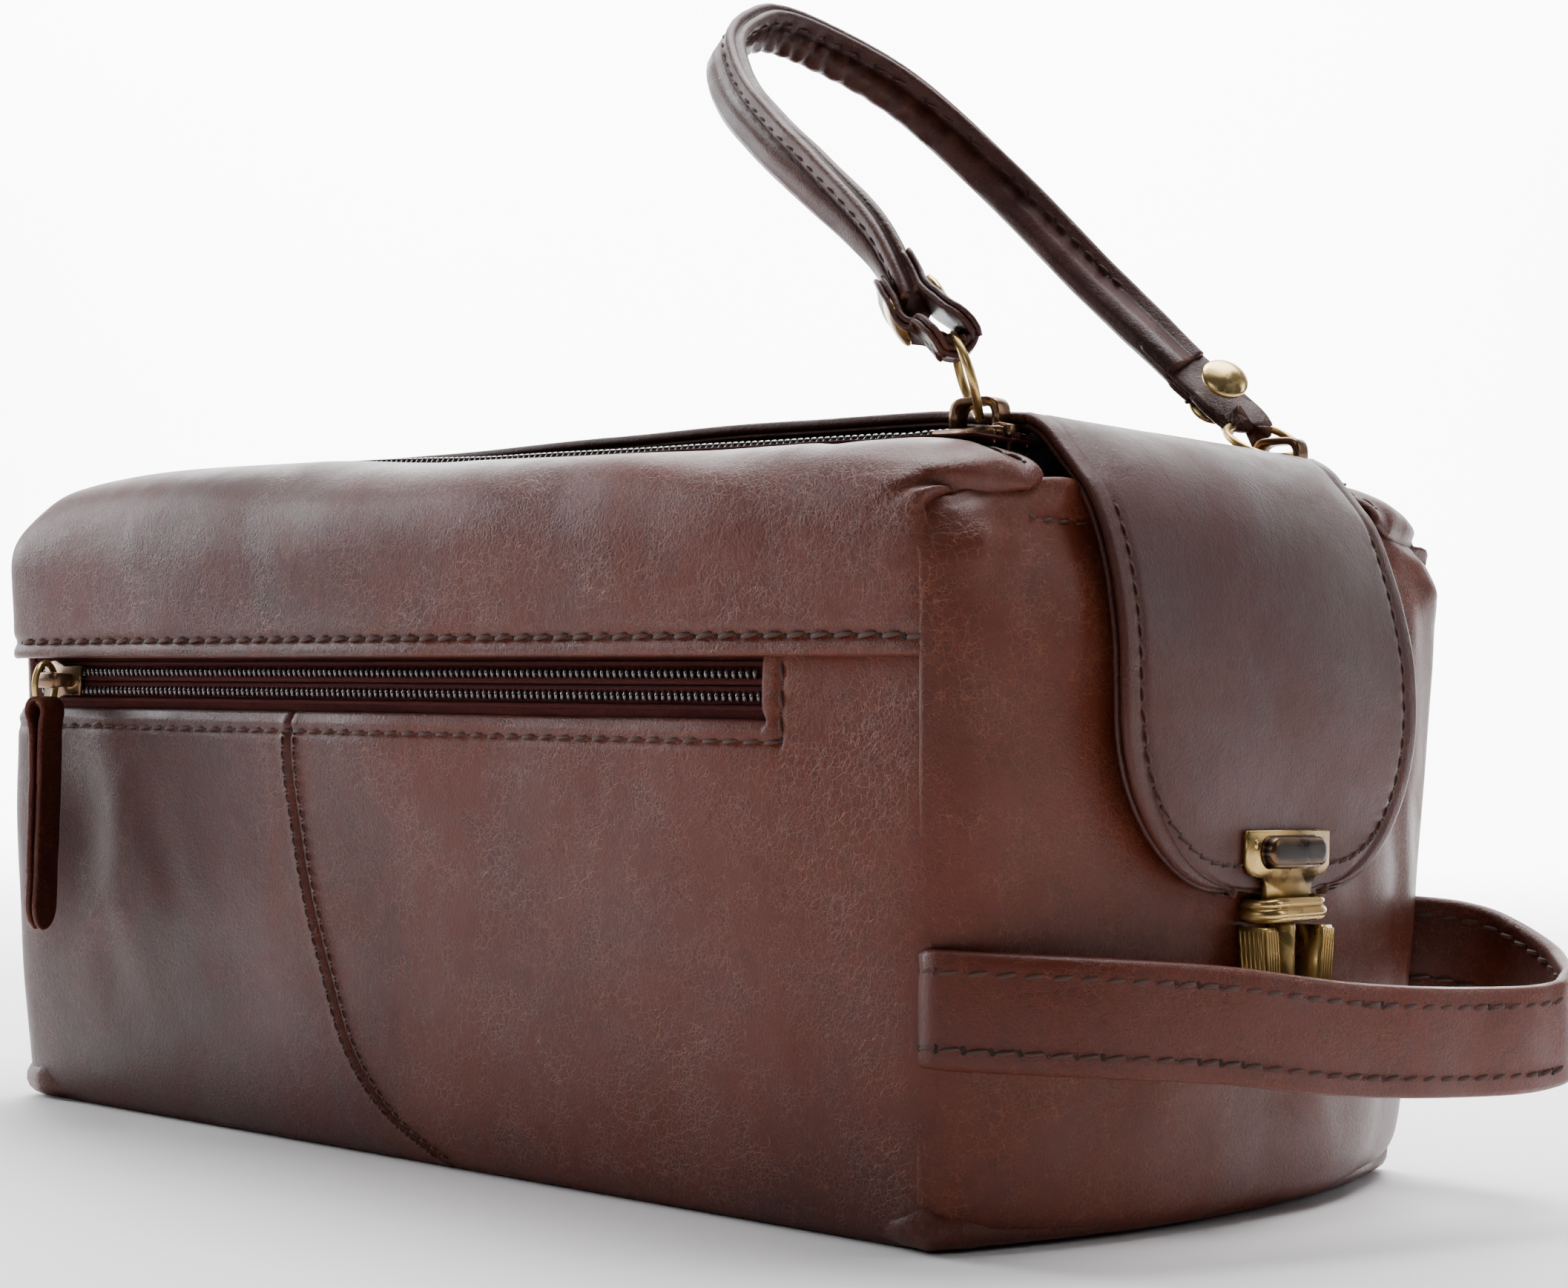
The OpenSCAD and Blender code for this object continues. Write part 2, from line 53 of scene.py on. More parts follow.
LEATHER = 2.4
HEM_Z = 103.3
POCKET_Z = 90.5
POCKET_END = 100.0
SHOULDER_Y, SHOULDER_Z, SHOULDER_R = 63.0, 124.0, 23.0
TOP_Z = 147.0
EDGE_Y = 57.0
ZIP_Y = 51.0
END_X = 151.0
PLAIN_X = -146.0
LEFT = -140.5
SINK = {-1: 3.8, 1: 1.6}
SLIDER_X = 122.0
FLAP_HALF, FLAP_LOW, FLAP_CORNER = 48.7, 62.5, 31.0
FLAP_ROOT, FLAP_OUT, FLAP_DROP, LID_Z = 131.5, 155.4, 53.0, 147.9
STRAP_WIDTH, HANDLE_WIDTH = 20.4, 10.6

RING_RADIUS, RING_WIRE = 8.0, 0.85
RINGS = {-1: (42.0, 19.0), 1: (-27.0, 60.0)}
HANDLE = [(109, -54, 168), (97, -52, 182), (79, -48.5, 195.5), (62, -44, 207.5),
          (46, -37, 219.5), (34, -27, 232), (29, -10, 241), (31, 8, 239.5),
          (40, 25, 231), (56, 39, 212.5), (76, 48, 190), (96, 54, 170)]
HANDLE_WIDE = [(0.67, -0.74, 0.05), (0.68, -0.5, 0.4), (0.68, -0.25, 0.65),
               (0.66, -0.1, 0.75), (0.66, 0, 0.75), (0.66, 0, 0.75), (0.66, 0, 0.75),
               (0.66, 0, 0.75), (0.66, 0.1, 0.73), (0.66, 0.35, 0.6),
               (0.6, 0.65, 0.35), (0.5, 0.85, 0.1)]
STRAP = [(134.8, -79.2, 42.6), (141.5, -79.4, 42.6), (158, -62, 41.8), (168, -38, 40),
         (176, -10, 36.5), (182, 16, 34.8), (187, 42, 34.4), (185.5, 56, 36.2),
         (176, 70, 39.5), (160, 80, 44.5), (149, 80.6, 47), (139, 76.6, 47.8)]


def side_y(z):
    """Half-width of the bag at height z."""
    return 76.5 + 9.5 * z / 129


def smooth(t):
    t = min(max(t, 0.0), 1.0)
    return t * t * (3 - 2 * t)


def lerp(points, x):
    """Value at x of the line through (x, value) points, eased between them."""
    if x <= points[0][0]:
        return points[0][1]
    for (x0, v0), (x1, v1) in zip(points, points[1:]):
        if x <= x1:
            return v0 + (v1 - v0) * smooth((x - x0) / (x1 - x0))
    return points[-1][1]


def hill(distance, width):
    return math.exp(-((distance / width) ** 2))


def cloud(x, y, z, size, seed=0.0):
    """Smooth noise between about -1 and 1 with features of that size."""
    return noise.noise(Vector((x / size + seed, y / size - seed * 1.7, z / size + seed * 0.6)))


def ladder(low, high, step, fine=0.7, reach=6.0):
    """Places from low to high, packed closer together near both ends."""
    places, at = [], 0.0
    length = high - low
    while at < length / 2:
        places.append(at)
        at += fine if at < reach else min(step, fine + (at - reach) * 0.35 + 0.3)
    half = [p * (length / 2) / at for p in places]
    return [low + p for p in half] + [low + length / 2] + [high - p for p in half[::-1]]


def curve(points, u):
    """A point on a smooth curve through the points, with u from 0 to len(points) - 1."""
    p = [np.array(x, float) for x in points]
    last = len(p) - 1
    i = min(int(u), last - 1)
    t = u - i
    a, b, c, d = p[max(i - 1, 0)], p[i], p[i + 1], p[min(i + 2, last)]
    return 0.5 * (2 * b + (c - a) * t + (2 * a - 5 * b + 4 * c - d) * t * t
                  + (3 * b - a - 3 * c + d) * t ** 3)


# ---- materials ----


class Nodes:
    """A short way to write a node tree."""

    def __init__(self, name):
        self.material = bpy.data.materials.new(name)
        self.material.use_nodes = True
        self.tree = self.material.node_tree
        self.shader = self.tree.nodes["Principled BSDF"]
        self.place = self.add("ShaderNodeTexCoord").outputs["Object"]

    def add(self, kind, **inputs):
        node = self.tree.nodes.new(kind)
        for key, value in inputs.items():
            self.put(node.inputs[key.replace("_", " ")], value)
        return node

    def put(self, socket, value):
        if isinstance(value, bpy.types.NodeSocket):
            self.tree.links.new(value, socket)
        else:
            socket.default_value = value

    def math(self, kind, a, b=0.0, c=0.0, clamp=False):
        node = self.tree.nodes.new("ShaderNodeMath")
        node.operation, node.use_clamp = kind, clamp
        for i, value in enumerate((a, b, c)):
            self.put(node.inputs[i], value)
        return node.outputs[0]

    def noise(self, scale, detail=3.0, rough=0.55, warp=0.0, place=None):
        return self.add("ShaderNodeTexNoise", Vector=place or self.place, Scale=scale,
                        Detail=detail, Roughness=rough, Distortion=warp).outputs["Fac"]

    def step(self, value, low, high, out_low=0.0, out_high=1.0):
        node = self.add("ShaderNodeMapRange", Value=value)
        node.inputs["From Min"].default_value, node.inputs["From Max"].default_value = low, high
        node.inputs["To Min"].default_value, node.inputs["To Max"].default_value = out_low, out_high
        node.interpolation_type = "SMOOTHSTEP"
        return node.outputs[0]

    def mix(self, share, a, b, kind="MIX"):
        node = self.tree.nodes.new("ShaderNodeMix")
        node.data_type, node.blend_type = "RGBA", kind
        self.put(node.inputs[0], share)
        for i, value in ((6, a), (7, b)):
            self.put(node.inputs[i], (*value, 1.0) if isinstance(value, tuple) else value)
        return node.outputs[2]

    def attribute(self, name):
        node = self.tree.nodes.new("ShaderNodeAttribute")
        node.attribute_name = name
        return node.outputs["Fac"]

    def bump(self, height, strength, distance, below=None):
        node = self.add("ShaderNodeBump", Height=height, Strength=strength, Distance=distance)
        if below is not None:
            self.put(node.inputs["Normal"], below)
        return node.outputs["Normal"]

    def finish(self, color, rough, normal=None, **sockets):
        self.put(self.shader.inputs["Base Color"], color)
        self.put(self.shader.inputs["Roughness"], rough)
        if normal is not None:
            self.put(self.shader.inputs["Normal"], normal)
        for key, value in sockets.items():
            self.shader.inputs[key.replace("_", " ")].default_value = value
        return self.material


def leather(name, warm, dark, vein, crackle=1.0, rough=0.38, coat=0.1):
    """Glazed pull-up leather: clouded colour, light crackle veins, pores and worn edges."""
    n = Nodes(name)
    tone = n.attribute("tone")
    broad = n.noise(9.0, 4.0, 0.6, 0.6)
    patch = n.noise(34.0, 5.0, 0.62, 0.8)
    cloudy = n.math("ADD", n.math("MULTIPLY", broad, 0.75), n.math("MULTIPLY", patch, 0.45))
    shade = n.step(n.math("ADD", cloudy, n.math("MULTIPLY", tone, 0.5)), 0.55, 1.15)
    color = n.mix(shade, dark, warm)
    streak = n.noise(130.0, 6.0, 0.7, 1.5)
    color = n.mix(n.step(streak, 0.42, 0.75, 0.0, 0.35), color, tuple(c * 0.55 for c in dark))

    warped = n.add("ShaderNodeVectorMath", )
    warped.operation = "ADD"
    bend = n.add("ShaderNodeTexNoise", Vector=n.place, Scale=420.0, Detail=3.0)
    shrink = n.add("ShaderNodeVectorMath")
    shrink.operation = "SCALE"
    n.put(shrink.inputs[0], bend.outputs["Color"])
    shrink.inputs["Scale"].default_value = 0.0022
    n.put(warped.inputs[0], n.place)
    n.put(warped.inputs[1], shrink.outputs[0])
    veins = None
    for scale, width in ((480.0, 0.04), (1000.0, 0.055)):
        cell = n.add("ShaderNodeTexVoronoi", Vector=warped.outputs[0], Scale=scale)
        cell.feature = "DISTANCE_TO_EDGE"
        line = n.step(cell.outputs["Distance"], 0.0, width, 1.0, 0.0)
        gate = n.step(n.noise(scale * 0.13, 3.0, 0.6, 0.9), 0.42, 0.62)
        line = n.math("MULTIPLY", line, gate)
        veins = line if veins is None else n.math("MAXIMUM", veins, line)
    where = n.step(n.math("ADD", n.noise(16.0, 4.0, 0.6), n.math("MULTIPLY", tone, 0.35)), 0.42, 0.8)
    veins = n.math("MULTIPLY", veins, n.math("MULTIPLY", where, crackle), clamp=True)
    color = n.mix(n.math("MULTIPLY", veins, 0.5), color, vein)
    edge = n.add("ShaderNodeNewGeometry").outputs["Pointiness"]
    worn = n.math("MULTIPLY", n.step(edge, 0.53, 0.62), n.step(streak, 0.35, 0.65))
    color = n.mix(n.math("MULTIPLY", worn, 0.45), color, vein)
    # Painted shade: concave spots (low pointiness) are darkened towards a deep brown, standing in for shade
    # in creases and hollows.
    crease = n.step(edge, 0.40, 0.485, 1.0, 0.0)
    color = n.mix(n.math("MULTIPLY", crease, 0.4), color, tuple(c * 0.3 for c in dark))

    pores = n.add("ShaderNodeTexVoronoi", Vector=warped.outputs[0], Scale=1500.0).outputs["Distance"]
    grain = n.math("ADD", n.math("MULTIPLY", pores, 0.6), n.noise(2600.0, 3.0, 0.7))
    normal = n.bump(n.noise(150.0, 5.0, 0.6, 0.6), 0.35, 0.0006)
    normal = n.bump(grain, 0.42, 0.0003, normal)
    normal = n.bump(n.math("MULTIPLY", veins, -1.0), 0.5, 0.0003, normal)
    gloss = n.step(patch, 0.3, 0.75, rough - 0.07, rough + 0.12)
    gloss = n.math("ADD", gloss, n.math("MULTIPLY", streak, 0.1))
    return n.finish(color, gloss, normal, Coat_Weight=coat, Coat_Roughness=0.3,
                    Specular_IOR_Level=0.23)


def metal(name, bright, dull, rough, patina=0.5):
    """Antique metal: dark patina in the hollows, rubbed bright on the edges, fine scratches."""
    n = Nodes(name)
    edge = n.add("ShaderNodeNewGeometry").outputs["Pointiness"]
    stain = n.noise(150.0, 4.0, 0.6, 0.6)
    rub = n.math("ADD", n.step(edge, 0.506, 0.56), n.step(stain, 0.4, 0.7, 0.0, 1.0 - patina), clamp=True)
    color = n.mix(rub, dull, bright)
    stretch = n.add("ShaderNodeMapping", Vector=n.place)
    stretch.inputs["Scale"].default_value = (1.0, 9.0, 1.0)
    stretch.inputs["Rotation"].default_value = (0.4, 0.9, 0.3)
    scratch = n.noise(900.0, 4.0, 0.75, 0.2, stretch.outputs[0])
    color = n.mix(n.step(scratch, 0.6, 0.72, 0.0, 0.16), color, tuple(min(1, c * 1.5) for c in bright))
    gloss = n.step(stain, 0.3, 0.7, rough - 0.08, rough + 0.14)
    normal = n.bump(scratch, 0.06, 0.00005)
    return n.finish(color, gloss, normal, Metallic=0.9)


def cloth(name, color, light, pitch, rough=0.85):
    """Woven cloth: two crossing rows of threads with uneven dye."""
    n = Nodes(name)
    waves = []
    for direction in ("X", "Z", "Y"):
        wave = n.add("ShaderNodeTexWave", Vector=n.place, Scale=1.0 / pitch, Distortion=0.6, Detail=1.0)
        wave.bands_direction = direction
        waves.append(wave.outputs["Fac"])
    weave = n.math("MAXIMUM", n.math("MULTIPLY", waves[0], waves[1]), n.math("MULTIPLY", waves[0], waves[2]))
    fuzz = n.noise(1800.0, 3.0)
    dye = n.mix(n.math("MULTIPLY", n.math("ADD", weave, fuzz), 0.5), color, light)
    return n.finish(dye, rough, n.bump(weave, 0.6, 0.0003), Specular_IOR_Level=0.15)


def plain(name, color, light, rough, scale=700.0, coat=0.0):
    """Small plain pieces: slightly uneven colour, gloss and surface."""
    n = Nodes(name)
    mottle = n.noise(scale, 4.0, 0.65)
    gloss = n.step(mottle, 0.3, 0.7, rough - 0.06, rough + 0.1)
    return n.finish(n.mix(mottle, color, light), gloss, n.bump(mottle, 0.3, 0.0001), Coat_Weight=coat)


def make_materials():
    brown = (0.092, 0.0142, 0.0045)
    shadow = (0.028, 0.0052, 0.0029)
    vein = (0.215, 0.066, 0.030)
    return {
        "chestnut": leather("chestnut_leather", brown, shadow, vein),
        "end": leather("end_leather", (0.100, 0.0172, 0.0058), (0.034, 0.0072, 0.0038), vein, 2.0, 0.4),
        "flap": leather("flap_leather", (0.068, 0.0152, 0.0082), (0.027, 0.0066, 0.0045), vein, 0.3, 0.4),
        "handle": leather("handle_leather", (0.070, 0.019, 0.012), (0.022, 0.0065, 0.005), vein, 0.6, 0.36),
        "thread": plain("thread", (0.022, 0.007, 0.0042), (0.075, 0.026, 0.014), 0.7, 2600.0),
        # Near-black painted shade for the needle holes at the stitch ends.
        "hole": plain("needle_hole_shade", (0.008, 0.004, 0.003), (0.02, 0.010, 0.008), 0.9),
        "brass": metal("antique_brass", (0.46, 0.31, 0.115), (0.10, 0.06, 0.024), 0.3, 0.35),
        "cap": metal("bright_brass", (0.62, 0.46, 0.20), (0.5, 0.36, 0.15), 0.24, 0.0),
        "bronze": metal("dark_bronze", (0.15, 0.085, 0.045), (0.012, 0.009, 0.008), 0.3, 0.92),
        "tape": cloth("zip_tape", (0.016, 0.003, 0.003), (0.10, 0.021, 0.017), 0.0009, 0.95),
        "lining": cloth("lining_cloth", (0.010, 0.009, 0.011), (0.035, 0.032, 0.037), 0.0007),
        "coil": plain("zip_coil", (0.014, 0.008, 0.008), (0.045, 0.026, 0.024), 0.2, 900.0, 1.0),
        "board": plain("board", (0.30, 0.22, 0.13), (0.42, 0.33, 0.21), 0.8, 160.0),
    }


M = make_materials()

# ---- mesh helpers ----


class Mesh:
    """Points in millimetres, faces with a material number, and a tone for each point."""

    def __init__(self):
        self.points, self.faces, self.kinds, self.tones = [], [], [], []

    def add(self, points, faces, kind=0, tone=0.5):
        base = len(self.points)
        self.points += [tuple(p) for p in points]
        self.faces += [tuple(base + i for i in f) for f in faces]
        self.kinds += [kind] * len(faces)
        self.tones += list(tone) if hasattr(tone, "__len__") else [tone] * len(points)

    def piece(self, name, materials, body, replaces=(), flat=False):
        mesh = bpy.data.meshes.new(name)
        mesh.from_pydata([(x * MM, y * MM, z * MM) for x, y, z in self.points], [], self.faces)
        for key in materials:
            mesh.materials.append(M[key])
        mesh.polygons.foreach_set("material_index", self.kinds)
        tone = mesh.attributes.new("tone", "FLOAT", "POINT")
        tone.data.foreach_set("value", self.tones)
        work = bmesh.new()
        work.from_mesh(mesh)
        bmesh.ops.recalc_face_normals(work, faces=work.faces)
        work.to_mesh(mesh)
        work.free()
        mesh.polygons.foreach_set("use_smooth", [not flat] * len(mesh.polygons))
        obj = bpy.data.objects.new(name, mesh)
        bpy.context.scene.collection.objects.link(obj)
        if body:
            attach(obj, body)
        if replaces:
            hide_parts(*replaces)
        return obj


def grid_quads(rows, cols, keep=None):
    return [(i * cols + j, (i + 1) * cols + j, (i + 1) * cols + j + 1, i * cols + j + 1)
            for i in range(rows - 1) for j in range(cols - 1) if keep is None or keep(i, j)]


def point_normals(points, quads):
    p = np.array(points, float)
    q = np.array(quads)
    n = np.cross(p[q[:, 2]] - p[q[:, 0]], p[q[:, 3]] - p[q[:, 1]])
    total = np.zeros_like(p)
    for k in range(4):
        np.add.at(total, q[:, k], n)
    size = np.linalg.norm(total, axis=1)
    size[size < 1e-12] = 1
    return total / size[:, None]


def slab(mesh, points, quads, thick, kind=0, tone=0.5, outward=None):
    """A sheet that thick behind the given surface, with rounded edges. outward is a point
    far outside the surface, which its normals face."""
    p = np.array(points, float)
    n = point_normals(p, quads)
    if outward is not None:
        mid = len(p) // 2
        if np.dot(n[mid], np.array(outward, float) - p[mid]) < 0:
            quads = [q[::-1] for q in quads]
            n = -n
    used = sorted({i for q in quads for i in q})
    edges = {}
    for q in quads:
        for a, b in zip(q, q[1:] + q[:1]):
            edges[(a, b)] = edges.get((a, b), 0) + 1
    rim = [e for e in edges if (e[1], e[0]) not in edges]
    out = {}
    for a, b in rim:
        way = np.cross(p[b] - p[a], n[a])
        way /= np.linalg.norm(way) + 1e-12
        for i in (a, b):
            out[i] = out.get(i, np.zeros(3)) + way
    half = thick / 2
    turns = [math.radians(a) for a in (36, 72, 108, 144)]
    all_points = [tuple(x) for x in p] + [tuple(x) for x in p - n * thick]
    count = len(p)
    ring = {}
    for i, way in out.items():
        way = way / (np.linalg.norm(way) + 1e-12)
        ring[i] = []
        for a in turns:
            ring[i].append(len(all_points))
            all_points.append(tuple(p[i] + way * half * math.sin(a) - n[i] * half * (1 - math.cos(a))))
    faces = list(quads) + [tuple(count + i for i in q[::-1]) for q in quads]
    edge_faces = []
    for a, b in rim:
        chain_a = [a] + ring[a] + [count + a]
        chain_b = [b] + ring[b] + [count + b]
        edge_faces += [(chain_b[k], chain_a[k], chain_a[k + 1], chain_b[k + 1]) for k in range(5)]
    remap, kept = {}, []
    for f in faces + edge_faces:
        for i in f:
            if i not in remap:
                remap[i] = len(kept)
                kept.append(all_points[i])
    tones = tone
    if hasattr(tone, "__len__"):
        source = {i: i for i in used}
        source.update({count + i: i for i in used})
        source.update({k: i for i, ks in ring.items() for k in ks})
        order = sorted(remap, key=remap.get)
        tones = [tone[source[i]] for i in order]
    base = len(mesh.points)
    mesh.points += kept
    mesh.faces += [tuple(base + remap[i] for i in f) for f in faces + edge_faces]
    mesh.kinds += [kind] * (len(faces) + len(edge_faces))
    mesh.tones += list(tones) if hasattr(tones, "__len__") else [tones] * len(kept)


def unit(v):
    v = np.array(v, float)
    return v / (np.linalg.norm(v) + 1e-12)


def tube(mesh, path, radius, sides=8, kind=0, closed=False, flatten=1.0, up=None, tone=0.5):
    """A round wire along the path; radius may change along it."""
    p = np.array(path, float)
    count = len(p)
    points, faces = [], []
    side = None
    for i in range(count):
        ahead = unit(p[(i + 1) % count] - p[i - 1]) if closed or 0 < i < count - 1 else unit(
            p[min(i + 1, count - 1)] - p[max(i - 1, 0)])
        base = np.array(up, float) if up is not None else side
        if base is None:
            base = np.array((0, 0, 1.0)) if abs(ahead[2]) < 0.9 else np.array((1.0, 0, 0))
        side = unit(base - ahead * np.dot(base, ahead))
        other = np.cross(ahead, side)
        r = radius[i] if hasattr(radius, "__len__") else radius
        for k in range(sides):
            a = 2 * math.pi * k / sides
            points.append(p[i] + side * r * flatten * math.cos(a) + other * r * math.sin(a))
    rings = count if closed else count - 1
    for i in range(rings):
        for k in range(sides):
            a, b = i * sides + k, i * sides + (k + 1) % sides
            c, d = ((i + 1) % count) * sides + k, ((i + 1) % count) * sides + (k + 1) % sides
            faces.append((a, b, d, c))
    if not closed:
        faces.append(tuple(range(sides))[::-1])
        faces.append(tuple((count - 1) * sides + k for k in range(sides)))
    mesh.add(points, faces, kind, tone)


def soft_block(mesh, centre, size, round_off, kind=0, turn=None):
    """A box with its edges rounded off."""
    work = bmesh.new()
    bmesh.ops.create_cube(work, size=1.0)
    for v in work.verts:
        v.co = Vector((v.co.x * size[0], v.co.y * size[1], v.co.z * size[2]))
    bmesh.ops.bevel(work, geom=work.edges[:] + work.verts[:], offset=round_off, segments=3,
                    profile=0.5, affect="EDGES", clamp_overlap=True)
    points = [v.co.copy() for v in work.verts]
    if turn is not None:
        points = [turn @ p for p in points]
    faces = [tuple(v.index for v in f.verts) for f in work.faces]
    work.free()
    mesh.add([(p.x + centre[0], p.y + centre[1], p.z + centre[2]) for p in points], faces, kind)


def disc(mesh, centre, normal, profile, sides=28, kind=0):
    """A turned shape: profile is (radius, height) points along the normal, from the rim in."""
    n = unit(normal)
    a = unit(np.cross(n, (0.3, 0.5, 0.81)))
    b = np.cross(n, a)
    points, faces = [], []
    for r, h in profile:
        for k in range(sides):
            t = 2 * math.pi * k / sides
            points.append(np.array(centre) + a * r * math.cos(t) + b * r * math.sin(t) + n * h)
    for i in range(len(profile) - 1):
        for k in range(sides):
            faces.append((i * sides + k, i * sides + (k + 1) % sides,
                          (i + 1) * sides + (k + 1) % sides, (i + 1) * sides + k))
    faces.append(tuple(range(sides)))
    faces.append(tuple((len(profile) - 1) * sides + k for k in range(sides)))
    mesh.add(points, faces, kind)


def stitch_row(mesh, path, normals, pitch=5.4, length=3.9, wide=0.42, slant=0.16, skip=0.0, seed=1):
    """Sewn thread along a path: each stitch arches out of the leather between two needle holes."""
    rng = random.Random(seed)
    p = np.array(path, float)
    gaps = np.linalg.norm(np.diff(p, axis=0), axis=1)
    run = np.concatenate(([0], np.cumsum(gaps)))
    total = run[-1] - 2 * skip
    count = max(1, int(total / pitch))
    step = total / count
    for k in range(count):
        middle = skip + (k + 0.5) * step
        ends = [middle - length / 2, middle + length / 2]
        at = [np.array([np.interp(e, run, p[:, c]) for c in range(3)]) for e in ends]
        n = unit([np.interp(middle, run, np.array(normals)[:, c]) for c in range(3)])
        ahead = unit(at[1] - at[0])
        across = np.cross(n, ahead)
        lean = slant + rng.uniform(-0.05, 0.05)
        line, sizes = [], []
        for t, high, r in ((0, -0.45, 0.6), (0.12, 0.05, 0.9), (0.35, 0.3, 1.0), (0.65, 0.3, 1.0),
                           (0.88, 0.05, 0.9), (1, -0.45, 0.6)):
            line.append(at[0] + (at[1] - at[0]) * t + n * high + across * lean * length * (t - 0.5))
            sizes.append(wide * r)
        tube(mesh, line, sizes, 6, 0)
        for end, t in ((0, -0.5), (1, 0.5)):
            hole = at[end] + across * lean * length * t + ahead * (0.45 if end else -0.45)
            # Painted shade: a near-black disc at each needle hole stands in for the shade inside the hole.
            disc(mesh, hole - n * 0.1, n, ((wide * 1.3, 0.0), (wide, 0.17), (wide * 0.4, 0.1)), 8, 1)


def thread_piece(name, rows, body):
    mesh = Mesh()
    for i, row in enumerate(rows):
        stitch_row(mesh, seed=i + 3, **row)
    obj = mesh.piece(name, ("thread", "hole"), body)
    return obj


# ---- the leather body ----

FRONT_DROP = [(-137, 3.2), (-129, 0.8), (-100, 0.4), (-50, 0.8), (0, 3.3), (50, 4.3), (80, 4.9),
              (100, 5.2), (107, 5.7), (113, 5.3), (120, 5.3), (126, 5.7), (130, 6.4)]
REAR_DROP = [(-137, 3.0), (-128, 0.5), (-60, 0.0), (20, 0.8), (100, 1.6), (122, 2.4), (130, 4.0)]
SHOULDER_LENGTH = (SHOULDER_Z - HEM_Z) + SHOULDER_R * math.pi / 2 + (SHOULDER_Y - EDGE_Y)
END_PATH = [(0, (139.7, 84.1, 103.3)), (9, (140.1, 84.8, 112)), (17, (140.2, 85.2, 119.6)),
            (22, (138.6, 86.0, 124.6)), (26, (136.9, 85.8, 128.0)), (34, (137.6, 79.0, 129.9)),
            (45, (140.2, 70.5, 131.8)), (56, (142.2, 63.6, 133.4)),
            (SHOULDER_LENGTH, (142.0, 59.6, 135.6))]


def seam_x(z):
    """Where the clasp end's corner seam stands at height z."""
    return 136.4 + 3.8 * smooth(z / 118) - 6.0 * math.exp(-max(z, 0) / 2.6)


SEAM = [curve([(13, 0, -4), (8, 0, 2), (-7, 0, 10.5), (-17.4, 0, 23), (-24.2, 0, 40), (-30, 0, 57.7),
               (-34, 0, 76.6), (-34.7, 0, POCKET_Z)], 0.05 * k) for k in range(141)]


def curved_seam_x(z):
    """Where the curved seam on the front stands at height z."""
    return float(np.interp(z, [p[2] for p in SEAM], [p[0] for p in SEAM]))


def shoulder(s):
    """Half-width, height and outward direction at a distance s up from the hem."""
    straight = SHOULDER_Z - HEM_Z
    arc = SHOULDER_R * math.pi / 2
    if s < straight:
        z = HEM_Z + s
        return side_y(z) + 0.4 * smooth(s / straight), z, 1.0, 0.0
    if s < straight + arc:
        a = (s - straight) / SHOULDER_R
        return (SHOULDER_Y + SHOULDER_R * math.cos(a), SHOULDER_Z + SHOULDER_R * math.sin(a),
                math.cos(a), math.sin(a))
    return SHOULDER_Y - (s - straight - arc), TOP_Z, 0.0, 1.0


def end_edge(s):
    """The upper panel's edge on the clasp end, at a distance s up from the hem."""
    return np.array([lerp([(a, p[c]) for a, p in END_PATH], s) for c in range(3)])


def body_wave(x, z, side):
    """Slow undulation of the long walls."""
    wave = 1.5 * cloud(x, side * 50, z, 62, 3.1) + 0.55 * cloud(x, side * 50, z, 24, 7.7)
    if side < 0:
        wave += 1.2 * cloud(x * 0.5 + z, 0, z - x * 0.5, 34, 1.2) * smooth((z - 100) / 25)
        wave -= 2.6 * hill(x + 112, 13) * hill(z - 66, 20)
        wave += 1.5 * hill(x + 126, 9) * hill(z - 62, 24)
        for px, pz, w in ((-100, 60, 5), (-88, 52, 4), (-76, 58, 4), (-95, 38, 4)):
            wave += 0.5 * math.sin((x - px + (z - pz) * 0.3) / w) * hill(x - px, 14) * hill(z - pz, 13)
    return wave


